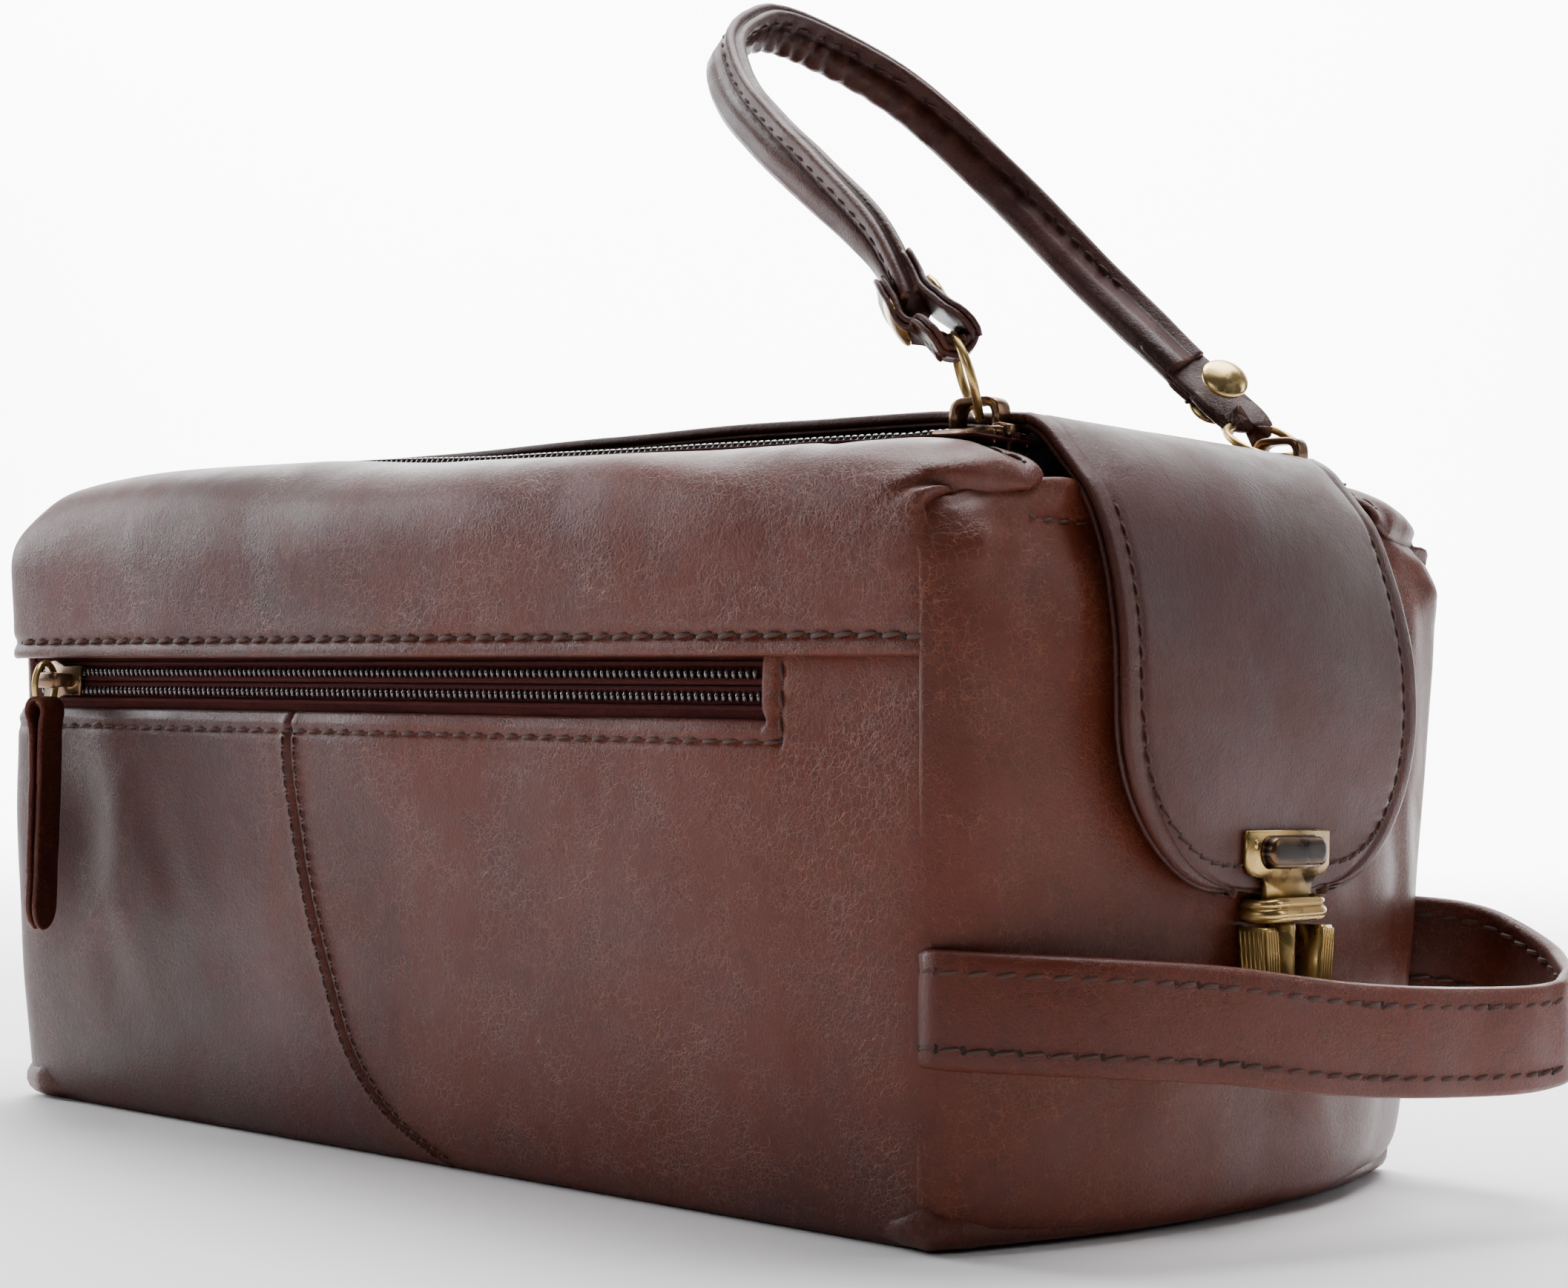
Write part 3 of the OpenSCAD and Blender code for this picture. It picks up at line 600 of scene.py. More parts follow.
def upper_point(x, s, side):
    """Point on an upper panel: x along the bag, s up from the hem and over the shoulder."""
    y, z, out_y, out_z = shoulder(s)
    over = smooth((s - 24) / 34)
    z -= lerp(FRONT_DROP if side < 0 else REAR_DROP, x) * over
    wave = 0.75 * body_wave(x, z, side)
    creases = 0.7 * math.sin((x + s * 1.9) / 9.5) * hill(s - 40, 16)
    wave += creases * smooth((x - 8) / 40) * (1 - smooth((x - 95) / 20))
    wave *= 1 - 0.9 * smooth((s - 36) / 16)
    wave -= 0.9 * hill(s - 2.9, 1.3) + 0.5 * hill(s - SHOULDER_LENGTH + 2.9, 1.2)
    wave += 0.5 * (1 - smooth((s - 40) / 12)) + 0.7 * hill(s, 7)
    left = x - LEFT
    wave -= 3.0 * math.exp(-left / 2.6)
    y += out_y * wave
    z += out_z * wave
    p = np.array((x, y, z))
    p[1] -= 1.0 * math.exp(-left / 9.0)
    p[2] -= 5.0 * math.exp(-left / 13.0) * smooth((s - 18) / 22)
    start = 112.0
    if x > start:
        t = (x - start) / (137.0 - start)
        edge = end_edge(s)
        fold = smooth((s - 20) / 12)
        share = t ** (2.2 + 3.2 * (1 - fold) + 1.2 * hill(s - 58, 10))
        edge = edge - np.array((0.8 * (1 - smooth((s - 20) / 6)), 0, 0))
        p = p * (1 - share) + edge * share
        puff = math.sin(math.pi * min(1, t) ** 1.9) * 3.4 * fold * (1 - 0.6 * smooth((s - 50) / 10))
        p += np.array((0.75, 0.35 * out_y, 0.45)) * puff
        across = ((x - 133) * 0.83 + (s - 34) * -0.55)
        along = ((x - 133) * 0.55 + (s - 34) * 0.83)
        p -= np.array((0.5, 0.7, 0.5)) * 2.6 * hill(across, 1.9) * hill(along + 1, 6.5)
        p += np.array((0.3, 0.6, 0.6)) * 1.6 * hill(across - 4.5, 3.0) * hill(along - 1, 7.5)
        near = 137.0 - x
        p -= np.array((0.2, 0.9, 0.1)) * 2.3 * math.exp(-near / 1.9) * (1 - fold * 0.2)
    return (p[0], side * p[1], p[2])


def make_upper(side, name, replaces):
    mesh = Mesh()
    xs = ladder(LEFT, 137, 3.0, 0.8, 30)
    ss = ladder(0, SHOULDER_LENGTH, 1.5, 0.6, 6)
    points = [upper_point(x, s, side) for x in xs for s in ss]
    tones = [0.5 + 0.35 * smooth((x + 20) / 120) - 0.25 * smooth((s - 30) / 25) * smooth((100 - x) / 60)
             for x in xs for s in ss]
    slab(mesh, points, grid_quads(len(xs), len(ss)), 1.9, tone=tones, outward=(0, side * 500, 300))
    return mesh.piece(name, ("chestnut",), "bag_body", replaces)


def wall_point(x, z, side, seam=None):
    """Point on a lower wall panel."""
    bulge = 0.9 * math.sin(math.pi * min(max(z / 100, 0), 1)) + body_wave(x, z, side)
    y = side_y(z) + bulge * smooth(z / 12)
    y -= 3.6 * math.exp(-max(z, 0) / 2.6)
    y -= 2.2 * math.exp(-max(seam_x(z) - x, 0) / 1.8)
    y -= 3.0 * math.exp(-(x - LEFT) / 2.6) + 1.0 * math.exp(-(x - LEFT) / 9)
    if side < 0:
        if x > POCKET_END - 12:
            y -= 0.9 * hill(z - HEM_Z, 2.2)
        y -= 0.55 * hill(z - (POCKET_Z - 3.4), 1.2) * (1 if x < POCKET_END + 4 else 0)
        y -= 0.5 * hill(x - POCKET_END - 3.6, 1.2) * smooth((z - 86) / 2)
        y -= 1.1 * hill(z - POCKET_Z, 1.2) * (1 if x < POCKET_END else 0)
    if seam is not None:
        y -= 0.5 * hill(x - seam, 0.7) - 0.2 * hill(abs(x - seam) - 1.9, 1.1)
    return (x, side * y, z)


def tone_at(x, z):
    return 0.35 + 0.5 * smooth((x + 100) / 160) * smooth((z + 30) / 70) - 0.2 * hill(x + 70, 30)


def make_front_left():
    mesh = Mesh()
    zs = ladder(0.4, POCKET_Z, 2.6)
    us = ladder(0, 1, 0.022, 0.006, 0.06)
    points, tones = [], []
    for z in zs:
        right = curved_seam_x(z)
        for u in us:
            x = LEFT + (right - LEFT) * u
            points.append(wall_point(x, z, -1, right))
            tones.append(tone_at(x, z))
    slab(mesh, points, grid_quads(len(zs), len(us)), LEATHER, tone=tones, outward=(-40, -500, 60))
    return mesh.piece("front_left_leather", ("chestnut",), "bag_body", ("front_left_panel",))


def make_front_right():
    mesh = Mesh()
    low = ladder(0.4, POCKET_Z, 2.6)
    high = [POCKET_Z + 0.7, POCKET_Z + 2, POCKET_Z + 4, POCKET_Z + 7, POCKET_Z + 10, HEM_Z + 1.5]
    zs = low + high
    first = ladder(0, 1, 0.026, 0.005, 0.05)
    second = ladder(0, 1, 0.06, 0.016, 0.3)[1:]
    points, tones = [], []
    for z in zs:
        left, right = curved_seam_x(z), seam_x(z) - 0.8
        for x in [left + (POCKET_END - left) * u for u in first] + [
                POCKET_END + (right - POCKET_END) * u for u in second]:
            points.append(wall_point(x, z, -1, left if z <= POCKET_Z else None))
            tones.append(tone_at(x, z))
    cols = len(first) + len(second)
    quads = grid_quads(len(zs), cols, lambda i, j: i < len(low) - 1 or j >= len(first) - 1)
    slab(mesh, points, quads, LEATHER, tone=tones, outward=(40, -500, 60))
    return mesh.piece("front_right_leather", ("chestnut",), "bag_body", ("front_right_panel",))


def make_rear():
    mesh = Mesh()
    zs = ladder(0.4, HEM_Z + 1.0, 2.8)
    us = ladder(0, 1, 0.02, 0.004, 0.04)
    points = []
    for z in zs:
        for u in us:
            points.append(wall_point(LEFT + (seam_x(z) - LEFT) * u, z, 1))
    slab(mesh, points, grid_quads(len(zs), len(us)), LEATHER, tone=0.6, outward=(0, 500, 60))
    xs = ladder(LEFT, 137, 3.4, 0.8, 30)
    ss = ladder(0, SHOULDER_LENGTH, 1.8, 0.6, 5)
    upper = [upper_point(x, s, 1) for x in xs for s in ss]
    slab(mesh, upper, grid_quads(len(xs), len(ss)), 1.9, tone=0.55, outward=(0, 500, 300))
    return mesh.piece("rear_leather", ("chestnut",), "bag_body", ("rear_panel",))


END_LOW = 1.6


def end_top(y):
    """Height of the clasp end's top edge."""
    return lerp([(0, 132.4), (44, 132.6), (50, 134.3), (60, 133.9), (66, 133.1), (74, 131.2),
                 (80, 129.6), (86, 128.2)], abs(y))


# Half the width over which an end's top edge is laid out, and that edge at the plain end:
# distance from the middle, then height
END_REACH = 86
PLAIN_TOP = [(0, 143.4), (62, 143.4), (80, 134), (86, 126)]


def end_point(u, v, sign=1):
    """Point on an end panel: u from -1 to 1 across, v from 0 to 1 up."""
    if sign > 0:
        top = end_top(u * END_REACH)
    else:
        top = lerp(PLAIN_TOP, abs(u * END_REACH))
    z = END_LOW + (top - END_LOW) * v
    half = side_y(z) - (0.1 if sign > 0 else 4.2)
    corner = seam_x(z) if sign > 0 else 140.0
    if sign > 0 and z > 119:
        corner -= 3.2 * smooth((z - 119) / 8)
    face = END_X - 8.2 * smooth((z - 104) / 30) if sign > 0 else -PLAIN_X
    x = corner + (face - corner) * (1 - abs(u) ** 2.15)
    half_low = 5.0 * math.exp(-(z - END_LOW) / 3.0)
    y = u * (half - half_low)
    near = (1 - abs(u)) * half
    x += 1.9 * (1 - math.exp(-near / 3.0)) - 3.2 * math.exp(-near / 1.7)
    wave = 1.2 * cloud(sign * 30, y, z, 40, 5.5) + 0.5 * cloud(sign * 30, y, z, 16, 2.2)
    wave += 0.45 * math.sin(y / 3.3 + 2 * cloud(0, y, z, 20, 4)) * hill(y - 62, 22) * smooth(z / 60)
    wave += 1.2 * hill(z - 16, 12) * (1 - abs(u) ** 6)
    x += wave * smooth(near / 12)
    x -= 4.6 * math.exp(-(z - END_LOW) / 2.8)
    if sign > 0:
        x += 2.9 * hill(abs(y) - 76, 6) * hill(z - 124, 5.5)
        lip = top - z
        x -= 1.6 * hill(lip, 1.8) * smooth((abs(y) - 54) / 8)
        x -= 0.6 * hill(abs(y) - 62, 0.9) * smooth((z - 127) / 2)
        x -= 0.6 * hill(z - 127.4, 0.9) * smooth((63 - abs(y)) / 2)
    x = max(x, 0)
    return (sign * x, y, z)


def make_end(sign, name, replaces):
    mesh = Mesh()
    us = ladder(-1, 1, 0.028, 0.009, 0.09)
    vs = ladder(0, 1, 0.022, 0.006, 0.06)
    points = [end_point(u, v, sign) for u in us for v in vs]
    tones = [0.62 + 0.25 * hill(u + 0.5, 0.4) for u in us for v in vs]
    slab(mesh, points, grid_quads(len(us), len(vs)), 2.2, tone=tones, outward=(sign * 600, 0, 60))
    return mesh.piece(name, ("end",), "bag_body", replaces)


def make_base():
    """Base leather, turned up a little all round to meet the walls."""
    mesh = Mesh()
    us, vs = ladder(-1, 1, 0.03, 0.006, 0.05), ladder(-1, 1, 0.05, 0.012, 0.08)
    points = []
    for u in us:
        for v in vs:
            half = 73.4
            y = v * half
            right = 132.0 + 15.7 * (1 - abs(v) ** 2.2)
            left = -133.5 - 7.5 * (1 - abs(v) ** 2.2)
            x = left + (right - left) * (u + 1) / 2
            to_edge = min((1 - abs(u)) * 142, (1 - abs(v)) * half)
            z = 0.15 + 4.6 * math.exp(-to_edge / 1.7) + 0.25 * smooth(to_edge / 30) * (1 + cloud(x, y, 0, 30))
            points.append((x, y, z))
    slab(mesh, points, grid_quads(len(us), len(vs)), 1.6, tone=0.3, outward=(0, 0, -900))
    return mesh.piece("base_leather", ("chestnut",), "bag_body", ("base_panel",))


def make_base_fold():
    """Puffy fold of leather round the foot of the bag, gathered at its corners."""
    mesh = Mesh()
    outline = []
    for y in np.linspace(-69, 69, 60):
        outline.append((133.4 + 13.2 * (1 - abs(y / 74) ** 2.2), y))
    outline += [(132.6, 73.6)] + [(x, 72.8) for x in np.linspace(127, -131, 70)] + [(-136, 72.6)]
    outline += [(-135.5 - 5.5 * (1 - abs(y / 74) ** 2.2), y) for y in np.linspace(67, -67, 30)]
    outline += [(-136, -72.6)] + [(x, -72.8) for x in np.linspace(-131, 127, 70)] + [(132.6, -73.8)]
    path, sizes = [], []
    for k, (x, y) in enumerate(outline):
        corner = hill(abs(y) - 73, 7) * hill(abs(x) - 133, 8)
        path.append((x, y, 3.3 + 1.6 * corner))
        sizes.append(2.5 + 1.9 * corner * (1 + 0.2 * math.sin(k * 1.9)) + 0.25 * cloud(x, y, 0, 14))
    tube(mesh, path, sizes, 14, closed=True, up=(0, 0, 1), tone=0.55)
    mesh.piece("base_fold_leather", ("chestnut",), "bag_body")


def make_binding():
    """Turned strip along the open top of the clasp end, under the flap."""
    mesh = Mesh()
    path = [np.array(end_point(y / 86, 0.985)) + (-1.0, 0, 0.6) for y in np.linspace(-43.5, 43.5, 46)]
    tube(mesh, path, 1.35, 10, flatten=1.25, up=(0, 0, 1))
    return mesh.piece("end_binding_leather", ("end",), "bag_body", ("end_binding",))


def make_linings():
    """The loose fabric inside the bag and behind the pocket."""
    inside = Mesh()
    turns = 96
    levels = ladder(6, 139, 6, 1.5, 6)
    points, faces = [], []
    for z in levels:
        for k in range(turns):
            a = 2 * math.pi * k / turns
            c, s = math.cos(a), math.sin(a)
            power = 0.22
            y = math.copysign(abs(s) ** power, s)
            x = math.copysign(abs(c) ** power, c)
            front = side_y(z) - (11.5 if s < 0 else 4.5)
            shrink = 1.0 if z < SHOULDER_Z else 1 - 0.16 * ((z - SHOULDER_Z) / 16) ** 2
            ripple = 1.1 * cloud(x * 130, y * 70, z, 22, 8.1) + 0.6 * math.sin(k * 1.3 + z * 0.05)
            points.append((x * (132 + ripple * 0.6) + 2, y * (front + ripple * 0.8 - 1) * shrink, z))
    for i in range(len(levels) - 1):
        for k in range(turns):
            faces.append((i * turns + k, i * turns + (k + 1) % turns,
                          (i + 1) * turns + (k + 1) % turns, (i + 1) * turns + k))
    centre = len(points)
    points.append((0, 0, 6.2))
    floor = [(centre, (k + 1) % turns, k) for k in range(turns)]
    inside.add(points, faces + floor)
    lining = inside.piece("main_lining_cloth", ("lining",), "bag_body", ("main_lining",))
    skin = lining.modifiers.new("thickness", "SOLIDIFY")
    skin.thickness, skin.offset = 0.0008, 0.0

    pocket = Mesh()
    xs, zs = ladder(-131, 131, 7, 2, 4), ladder(13, 114, 6, 2, 4)
    for depth in (3.6, 9.0):
        sheet = [(x, -(side_y(z) - depth - 0.7 * (1 + cloud(x, depth, z, 18, 6.3)) * smooth((z - 13) / 9)
                       * (1 if depth < 5 else -1)), z) for x in xs for z in zs]
        slab(pocket, sheet, grid_quads(len(xs), len(zs), lambda i, j: depth > 5 or zs[j + 1] < 84
                                      or zs[j] > 108), 0.5, outward=(0, -600, 60))
    pocket.piece("pocket_lining_cloth", ("lining",), "bag_body", ("pocket_lining",))


# ---- lid and flap ----

LID_CROWN = [(-137, 0.0), (-110, 0.2), (-50, 0.9), (20, 2.6), (60, 3.4), (105, 2.6), (126, 0.6), (131.5, 0)]


def lid_point(x, u):
    """Point on the lid: x along the bag, u from -1 to 1 across."""
    half = 43.5 + 4.9 * smooth((x - 108) / 22)
    z = LID_Z + lerp(LID_CROWN, x) * (0.75 + 0.25 * (1 - u * u)) - lerp(
        [(-137, 2.6), (-120, 0.4), (-60, 0)], x)
    z += 0.35 * cloud(x, u * half, 0, 26, 9.2) - 0.45 * hill((1 - abs(u)) * half - 3, 1.2)
    return (x, u * half, z)


def bend_table():
    """Points over the flap's bend with the distance run to each."""
    corners = [(FLAP_ROOT, LID_Z), (137.5, 145.4), (143.5, 139.6), (148, 131.8), (151, 123.4),
               (153.2, 115), (154.8, 106), (FLAP_OUT, LID_Z - FLAP_DROP)]
    rows, run, last = [], 0.0, None
    for k in range(71):
        here = tuple(curve([(x, 0, z) for x, z in corners], 7 * k / 70))
        run += math.dist(here, last) if last else 0.0
        rows.append((run, here[0], here[2]))
        last = here
    return rows


BEND = bend_table()
BEND_RUN = BEND[-1][0]


def flap_point(s, u):
    """Point on the flap: s down from its root over the bend, u from -1 to 1 across."""
    if s < BEND_RUN:
        x = float(np.interp(s, [r[0] for r in BEND], [r[1] for r in BEND]))
        z = float(np.interp(s, [r[0] for r in BEND], [r[2] for r in BEND]))
    else:
        x, z = FLAP_OUT, LID_Z - FLAP_DROP - (s - BEND_RUN)
    start = FLAP_LOW + 1.5 + FLAP_CORNER
    half = FLAP_HALF
    if z < start:
        drop = (start - z) / (start - FLAP_LOW)
        half = (FLAP_HALF - FLAP_CORNER) + FLAP_CORNER * math.sqrt(max(0.0, 1 - drop ** 2.15))
    y = u * half
    down = smooth((s - 10) / 25)
    edge = (1 - abs(u)) * half
    out = ((0.8 * down + 1.5 * hill(s - 24, 18)) * (1 - u * u)
           - 1.4 * hill(s - 14, 14) * u * u + 0.7 * cloud(0, y, z, 34, 11.0) * down)
    out -= 0.5 * hill(edge - 4.0, 1.1)
    wide = 1 + 0.012 * math.sin(z / 13) * down
    if s < 22:
        z -= 1.2 * smooth((abs(u) - 0.7) / 0.3) * smooth(s / 12) * (1 - smooth((s - 14) / 8))
    lean = smooth(s / 40)
    return (x + out * lean, y * wide, z + out * (1 - lean) * min(1.0, s / 8))


FLAP_RUN = BEND_RUN + (LID_Z - FLAP_DROP - FLAP_LOW)


def make_lid_and_flap():
    us = ladder(-1, 1, 0.05, 0.016, 0.14)
    xs = ladder(-136, FLAP_ROOT, 3.2, 0.9, 3)
    ss = [x for x in ladder(0, FLAP_RUN, 1.9, 0.5, 5)][1:]
    tail = [FLAP_RUN - 0.02 * (k ** 2) for k in range(8, 0, -1)]
    ss = sorted(set([s for s in ss if s < FLAP_RUN - 1.3] + tail))
    top = Mesh()
    points = [lid_point(x, u) for x in xs for u in us] + [flap_point(s, u) for s in ss for u in us]
    rows = len(xs) + len(ss)
    tones = [0.35] * (len(xs) * len(us)) + [0.45 + 0.25 * smooth((s - 40) / 40) for s in ss for u in us]
    slab(top, points, grid_quads(rows, len(us)), 1.9, tone=tones, outward=(500, 0, 900))
    outer = top.piece("lid_and_flap_leather", ("flap",), None)
    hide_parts("lid_panel", "flap_outer")

    under = Mesh()
    points = []
    for x in xs[2:]:
        for u in us:
            p = lid_point(x, u * 0.985)
            points.append((p[0], p[1], p[2] - 2.0))
    for s in ss:
        for u in us:
            a = np.array(flap_point(s, u))
            way = unit(np.array(flap_point(min(s + 0.5, FLAP_RUN - 0.01), u))
                       - np.array(flap_point(max(s - 0.5, 0), u)))
            back = np.array((-abs(way[2]), 0, -abs(way[0])))
            lip = 1.015 if s > 20 else 1.0
            q = a + back * 1.95
            points.append((q[0], q[1] * lip, q[2] - (0.6 if s > 40 else 0)))
    slab(under, points, grid_quads(len(xs) - 2 + len(ss), len(us)), 0.9, tone=0.35, outward=(500, 0, 900))
    inner = under.piece("lid_and_flap_lining", ("handle",), None)
    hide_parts("lid_lining", "flap_lining")
    for obj in (outer, inner):
        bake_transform(obj)


def flap_stitches():
    """One row of stitches set in from the flap's edge, down one side and up the other."""
    inset = 4.2
    top = FLAP_LOW + 1.5 + FLAP_CORNER
    straight = np.linspace(24, BEND_RUN + LID_Z - FLAP_DROP - top, 26)
    half_row = [(s, 1 - inset / FLAP_HALF) for s in straight]
    for k in range(1, 25):
        a = math.pi / 2 * k / 24
        z = top - (top - FLAP_LOW - inset) * math.sin(a) ** (2 / 2.15)
        y = FLAP_HALF - FLAP_CORNER + (FLAP_CORNER - inset) * math.cos(a)
        s = BEND_RUN + LID_Z - FLAP_DROP - z
        half_row.append((s, y / abs(flap_point(s, 1)[1])))
    row = [(s, -u) for s, u in half_row]
    s, last = half_row[-1]
    row += [(s, last * t) for t in np.linspace(-0.8, 0.8, 9)] + half_row[::-1]
    path = [np.array(flap_point(s, u)) for s, u in row]
    normals = [(1, 0.15 * u, 0.05) for s, u in row]
    return thread_piece("flap_thread", [{"path": path, "normals": normals, "pitch": 3.7, "length": 2.7,
                                         "wide": 0.3}], "flap")


# ---- zips ----


def zip_line(x, side):
    """Height of a lid zip's tape along the bag."""
    return 145.3 - lerp(FRONT_DROP if side < 0 else REAR_DROP, min(x, 124)) * (0.52 if side < 0 else 0.6)


# Distance between two turns of a zip coil
COIL_PITCH = 1.7


def coil(mesh, x0, x1, place, half_step):
    """Coil teeth: place(x, across, up) gives a point; across runs out from the middle line."""
    count = int((x1 - x0) / COIL_PITCH)
    for k in range(count):
        x = x0 + (k + half_step) * COIL_PITCH
        path = []
        for a in (200, 150, 100, 50, 0, -50, -100):
            r = math.radians(a)
            path.append(place(x + 0.3 * math.sin(r), 2.5 + 0.8 * math.cos(r), 1.1 + 0.75 * math.sin(r)))
        tube(mesh, path, (0.36, 0.36, 0.38, 0.4, 0.38, 0.36, 0.3), 6)


def make_lid_zips():
    for side, label in ((-1, "front"), (1, "rear")):
        for half, owner, body in ((1, "body", "bag_body"), (-1, "lid", "lid")):
            tape = Mesh()
            xs = list(np.linspace(-133, 130.5, 110))
            points = []
            for x in xs:
                for w in (0.4, 1.2, 2.4, 4, 6, 8, 10, 12):
                    lift = 0.0 if half > 0 else 0.35 * w / 12 * lerp(LID_CROWN, x)
                    points.append((x, side * (ZIP_Y + half * w), zip_line(x, side) + 0.5 + lift
                                   + 0.12 * math.sin(x * 2.6) * (1 if w > 2 else 0)))
            slab(tape, points, grid_quads(len(xs), 8), 0.6, outward=(0, 0, 900))
            for across, size in ((3.9, 0.5), (0.75, 0.72)):
                rib = [(x, side * (ZIP_Y + half * across), zip_line(x, side) + 0.95) for x in xs]
                tube(tape, rib, size, 8)
            tape.piece(f"{label}_{owner}_tape_cloth", ("tape",), body, (f"{label}_{owner}_tape",))
            teeth = Mesh()
            coil(teeth, -131, 129, lambda x, w, h: (
                x, side * (ZIP_Y + half * (w - 0.45)), zip_line(x, side) + 0.45 + h),
                0.25 if half > 0 else 0.75)
            teeth.piece(f"{label}_{owner}_coil_teeth", ("coil",), body, (f"{label}_{owner}_coil",))
    stops = Mesh()
    for side in (-1, 1):
        for x in (-131.7, 130.8):
            soft_block(stops, (x, side * (ZIP_Y + 2.6), zip_line(x, side) + 1.7), (1.6, 2.2, 2.2), 0.5)
    stops.piece("zip_end_stops", ("bronze",), "bag_body", ("zip_stops",))


def pocket_place(x, across, out):
    """A point by the pocket's zip: across runs up the wall, out runs away from it."""
    z = (POCKET_Z + HEM_Z) / 2 + 0.4 + across
    return (x, -(side_y(z) + 0.35 * body_wave(x, z, -1) + out - 0.2), z)


def make_pocket_zip():
    for half, label in ((1, "upper"), (-1, "lower")):
        tape = Mesh()
        xs = list(np.linspace(-131, 108, 100))
        points = [pocket_place(x, half * w, -2.4 + 0.1 * math.sin(x * 2.3 + w)) for x in xs
                  for w in (0.5, 1.5, 3, 4.5, 6, 8, 9.8)]
        slab(tape, points, grid_quads(len(xs), 7), 0.6, outward=(0, -900, 90))
        for across, size in ((4.0, 0.5), (0.8, 0.75)):
            tube(tape, [pocket_place(x, half * across, -2.0) for x in xs], size, 8)
        tape.piece(f"pocket_{label}_tape_cloth", ("tape",), "bag_body", (f"pocket_{label}_tape",))
        teeth = Mesh()
        coil(teeth, -128, 99, lambda x, w, h: pocket_place(x, half * (w - 0.45), h - 2.5),
             0.25 if half > 0 else 0.75)
        teeth.piece(f"pocket_{label}_coil_teeth", ("coil",), "bag_body", (f"pocket_{label}_coil",))


# ---- sliders and rings ----


def plate_outline(length, wide, narrow):
    """A slider's plate seen from above: wide where the two halves enter, narrow behind."""
    half = length / 2
    return [(-half, -narrow / 2), (-half * 0.1, -narrow / 2), (half * 0.45, -wide / 2),
            (half, -wide / 2 * 0.86),
            (half, wide / 2 * 0.86), (half * 0.45, wide / 2), (-half * 0.1, narrow / 2), (-half, narrow / 2)]


def extrude(mesh, outline, low, high, place, kind=0, chamfer=0.35):
    """A flat shape between two heights with softened edges; place(a, b, h) gives a point."""
    ring = np.array(outline, float)
    centre = ring.mean(0)
    rows = []
    for h, inset in ((low, chamfer), (low + chamfer, 0.0), (high - chamfer, 0.0), (high, chamfer)):
        size = np.abs(ring - centre).max(0)
        rows.append([place(*(centre + (p - centre) * (1 - inset / size)), h) for p in ring])
    count = len(ring)
    points = [p for row in rows for p in row]
    faces = [(i * count + k, i * count + (k + 1) % count, (i + 1) * count + (k + 1) % count,
              (i + 1) * count + k) for i in range(3) for k in range(count)]
    faces.append(tuple(range(count)))
    faces.append(tuple(3 * count + k for k in range(count)))
    mesh.add(points, faces, kind)


def crown(mesh, place, low, high, reach, wide, wall):
    """The arched bridge that holds the ring: a bent strap that thins at its feet."""
    rows = []
    steps = 14
    for i in range(steps + 1):
        a = math.pi * i / steps
        sweep = math.copysign(abs(math.cos(a)) ** 0.45, math.cos(a))
        rise = math.sin(a) ** 0.4 if 0 < i < steps else 0.0
        for r in (0.0, wall):
            rows.append((-sweep * (reach - r), low + (high - low - r) * rise))
    points, faces = [], []
    for i in range(steps + 1):
        outer, inner = rows[2 * i], rows[2 * i + 1]
        w = wide * (0.8 + 0.2 * math.sin(math.pi * i / steps))
        soft = 0.45
        for (x, h), y in ((outer, -w + soft), (outer, w - soft), ((outer[0] * 0.96 + inner[0] * 0.04, (outer[1] * 0.75 + inner[1] * 0.25)), w),
                          (inner, w - 0.1), (inner, -w + 0.1), ((outer[0] * 0.96 + inner[0] * 0.04, (outer[1] * 0.75 + inner[1] * 0.25)), -w)):
            points.append(place(x, y, h))
    for i in range(steps):
        for k in range(6):
            faces.append((i * 6 + k, i * 6 + (k + 1) % 6, (i + 1) * 6 + (k + 1) % 6, (i + 1) * 6 + k))
    faces.append(tuple(range(6)))
    faces.append(tuple(steps * 6 + k for k in range(6)))
    mesh.add(points, faces)


def make_slider(side, label):
    mesh = Mesh()
    y0 = side * ZIP_Y
    drop = SINK[side]

    def place(a, b, h):
        return (SLIDER_X + a, y0 + b, h - drop)

    extrude(mesh, plate_outline(16, 10.6, 7.4), 147.2, 148.7, place)
    extrude(mesh, plate_outline(16, 10.6, 7.4), 142.0, 143.3, place)
    for edge in (-1, 1):
        for x0, x1, y in ((-8, 0, 3.5), (1, 7.6, 4.9)):
            soft_block(mesh, place((x0 + x1) / 2, edge * y, 146.6), (x1 - x0, 0.9, 2.6), 0.3)
            soft_block(mesh, place((x0 + x1) / 2, edge * y, 143.8), (x1 - x0, 0.9, 1.6), 0.3)
    soft_block(mesh, place(5, 0, 145.2), (4.4, 1.3, 5.0), 0.4)
    soft_block(mesh, place(6.9, 0, 148.9), (1.8, 8.0, 0.9), 0.35)
    crown(mesh, place, 148.5, 154.6, 5.7, 2.3, 1.4)
    piece = mesh.piece(f"{label}_slider_body", ("bronze",), f"{label}_slider", (f"{label}_slider",))
    return piece


def ring_frame(side):
    """The frame that stands in a slider's hole with Z towards the ring's far side."""
    turn, lean = RINGS[side]
    hole = Vector((SLIDER_X, side * ZIP_Y, 150.7 - SINK[side]))
    return Matrix.Translation(hole) @ Matrix.Rotation(math.radians(turn), 4, "Z") @ Matrix.Rotation(
        -math.radians(lean), 4, "Y")


def wire_ring(mesh, to_row, radius, wire):
    """A bent wire ring with a closed butt joint at one side."""
    path = []
    for k in range(48):
        a = 2 * math.pi * k / 48
        path.append(to_row @ Vector((0.12 * math.sin(a * 3), radius * math.sin(a),
                                     radius - radius * math.cos(a))))
    tube(mesh, path, wire, 10, closed=True, up=to_row.to_3x3() @ Vector((1, 0, 0)))


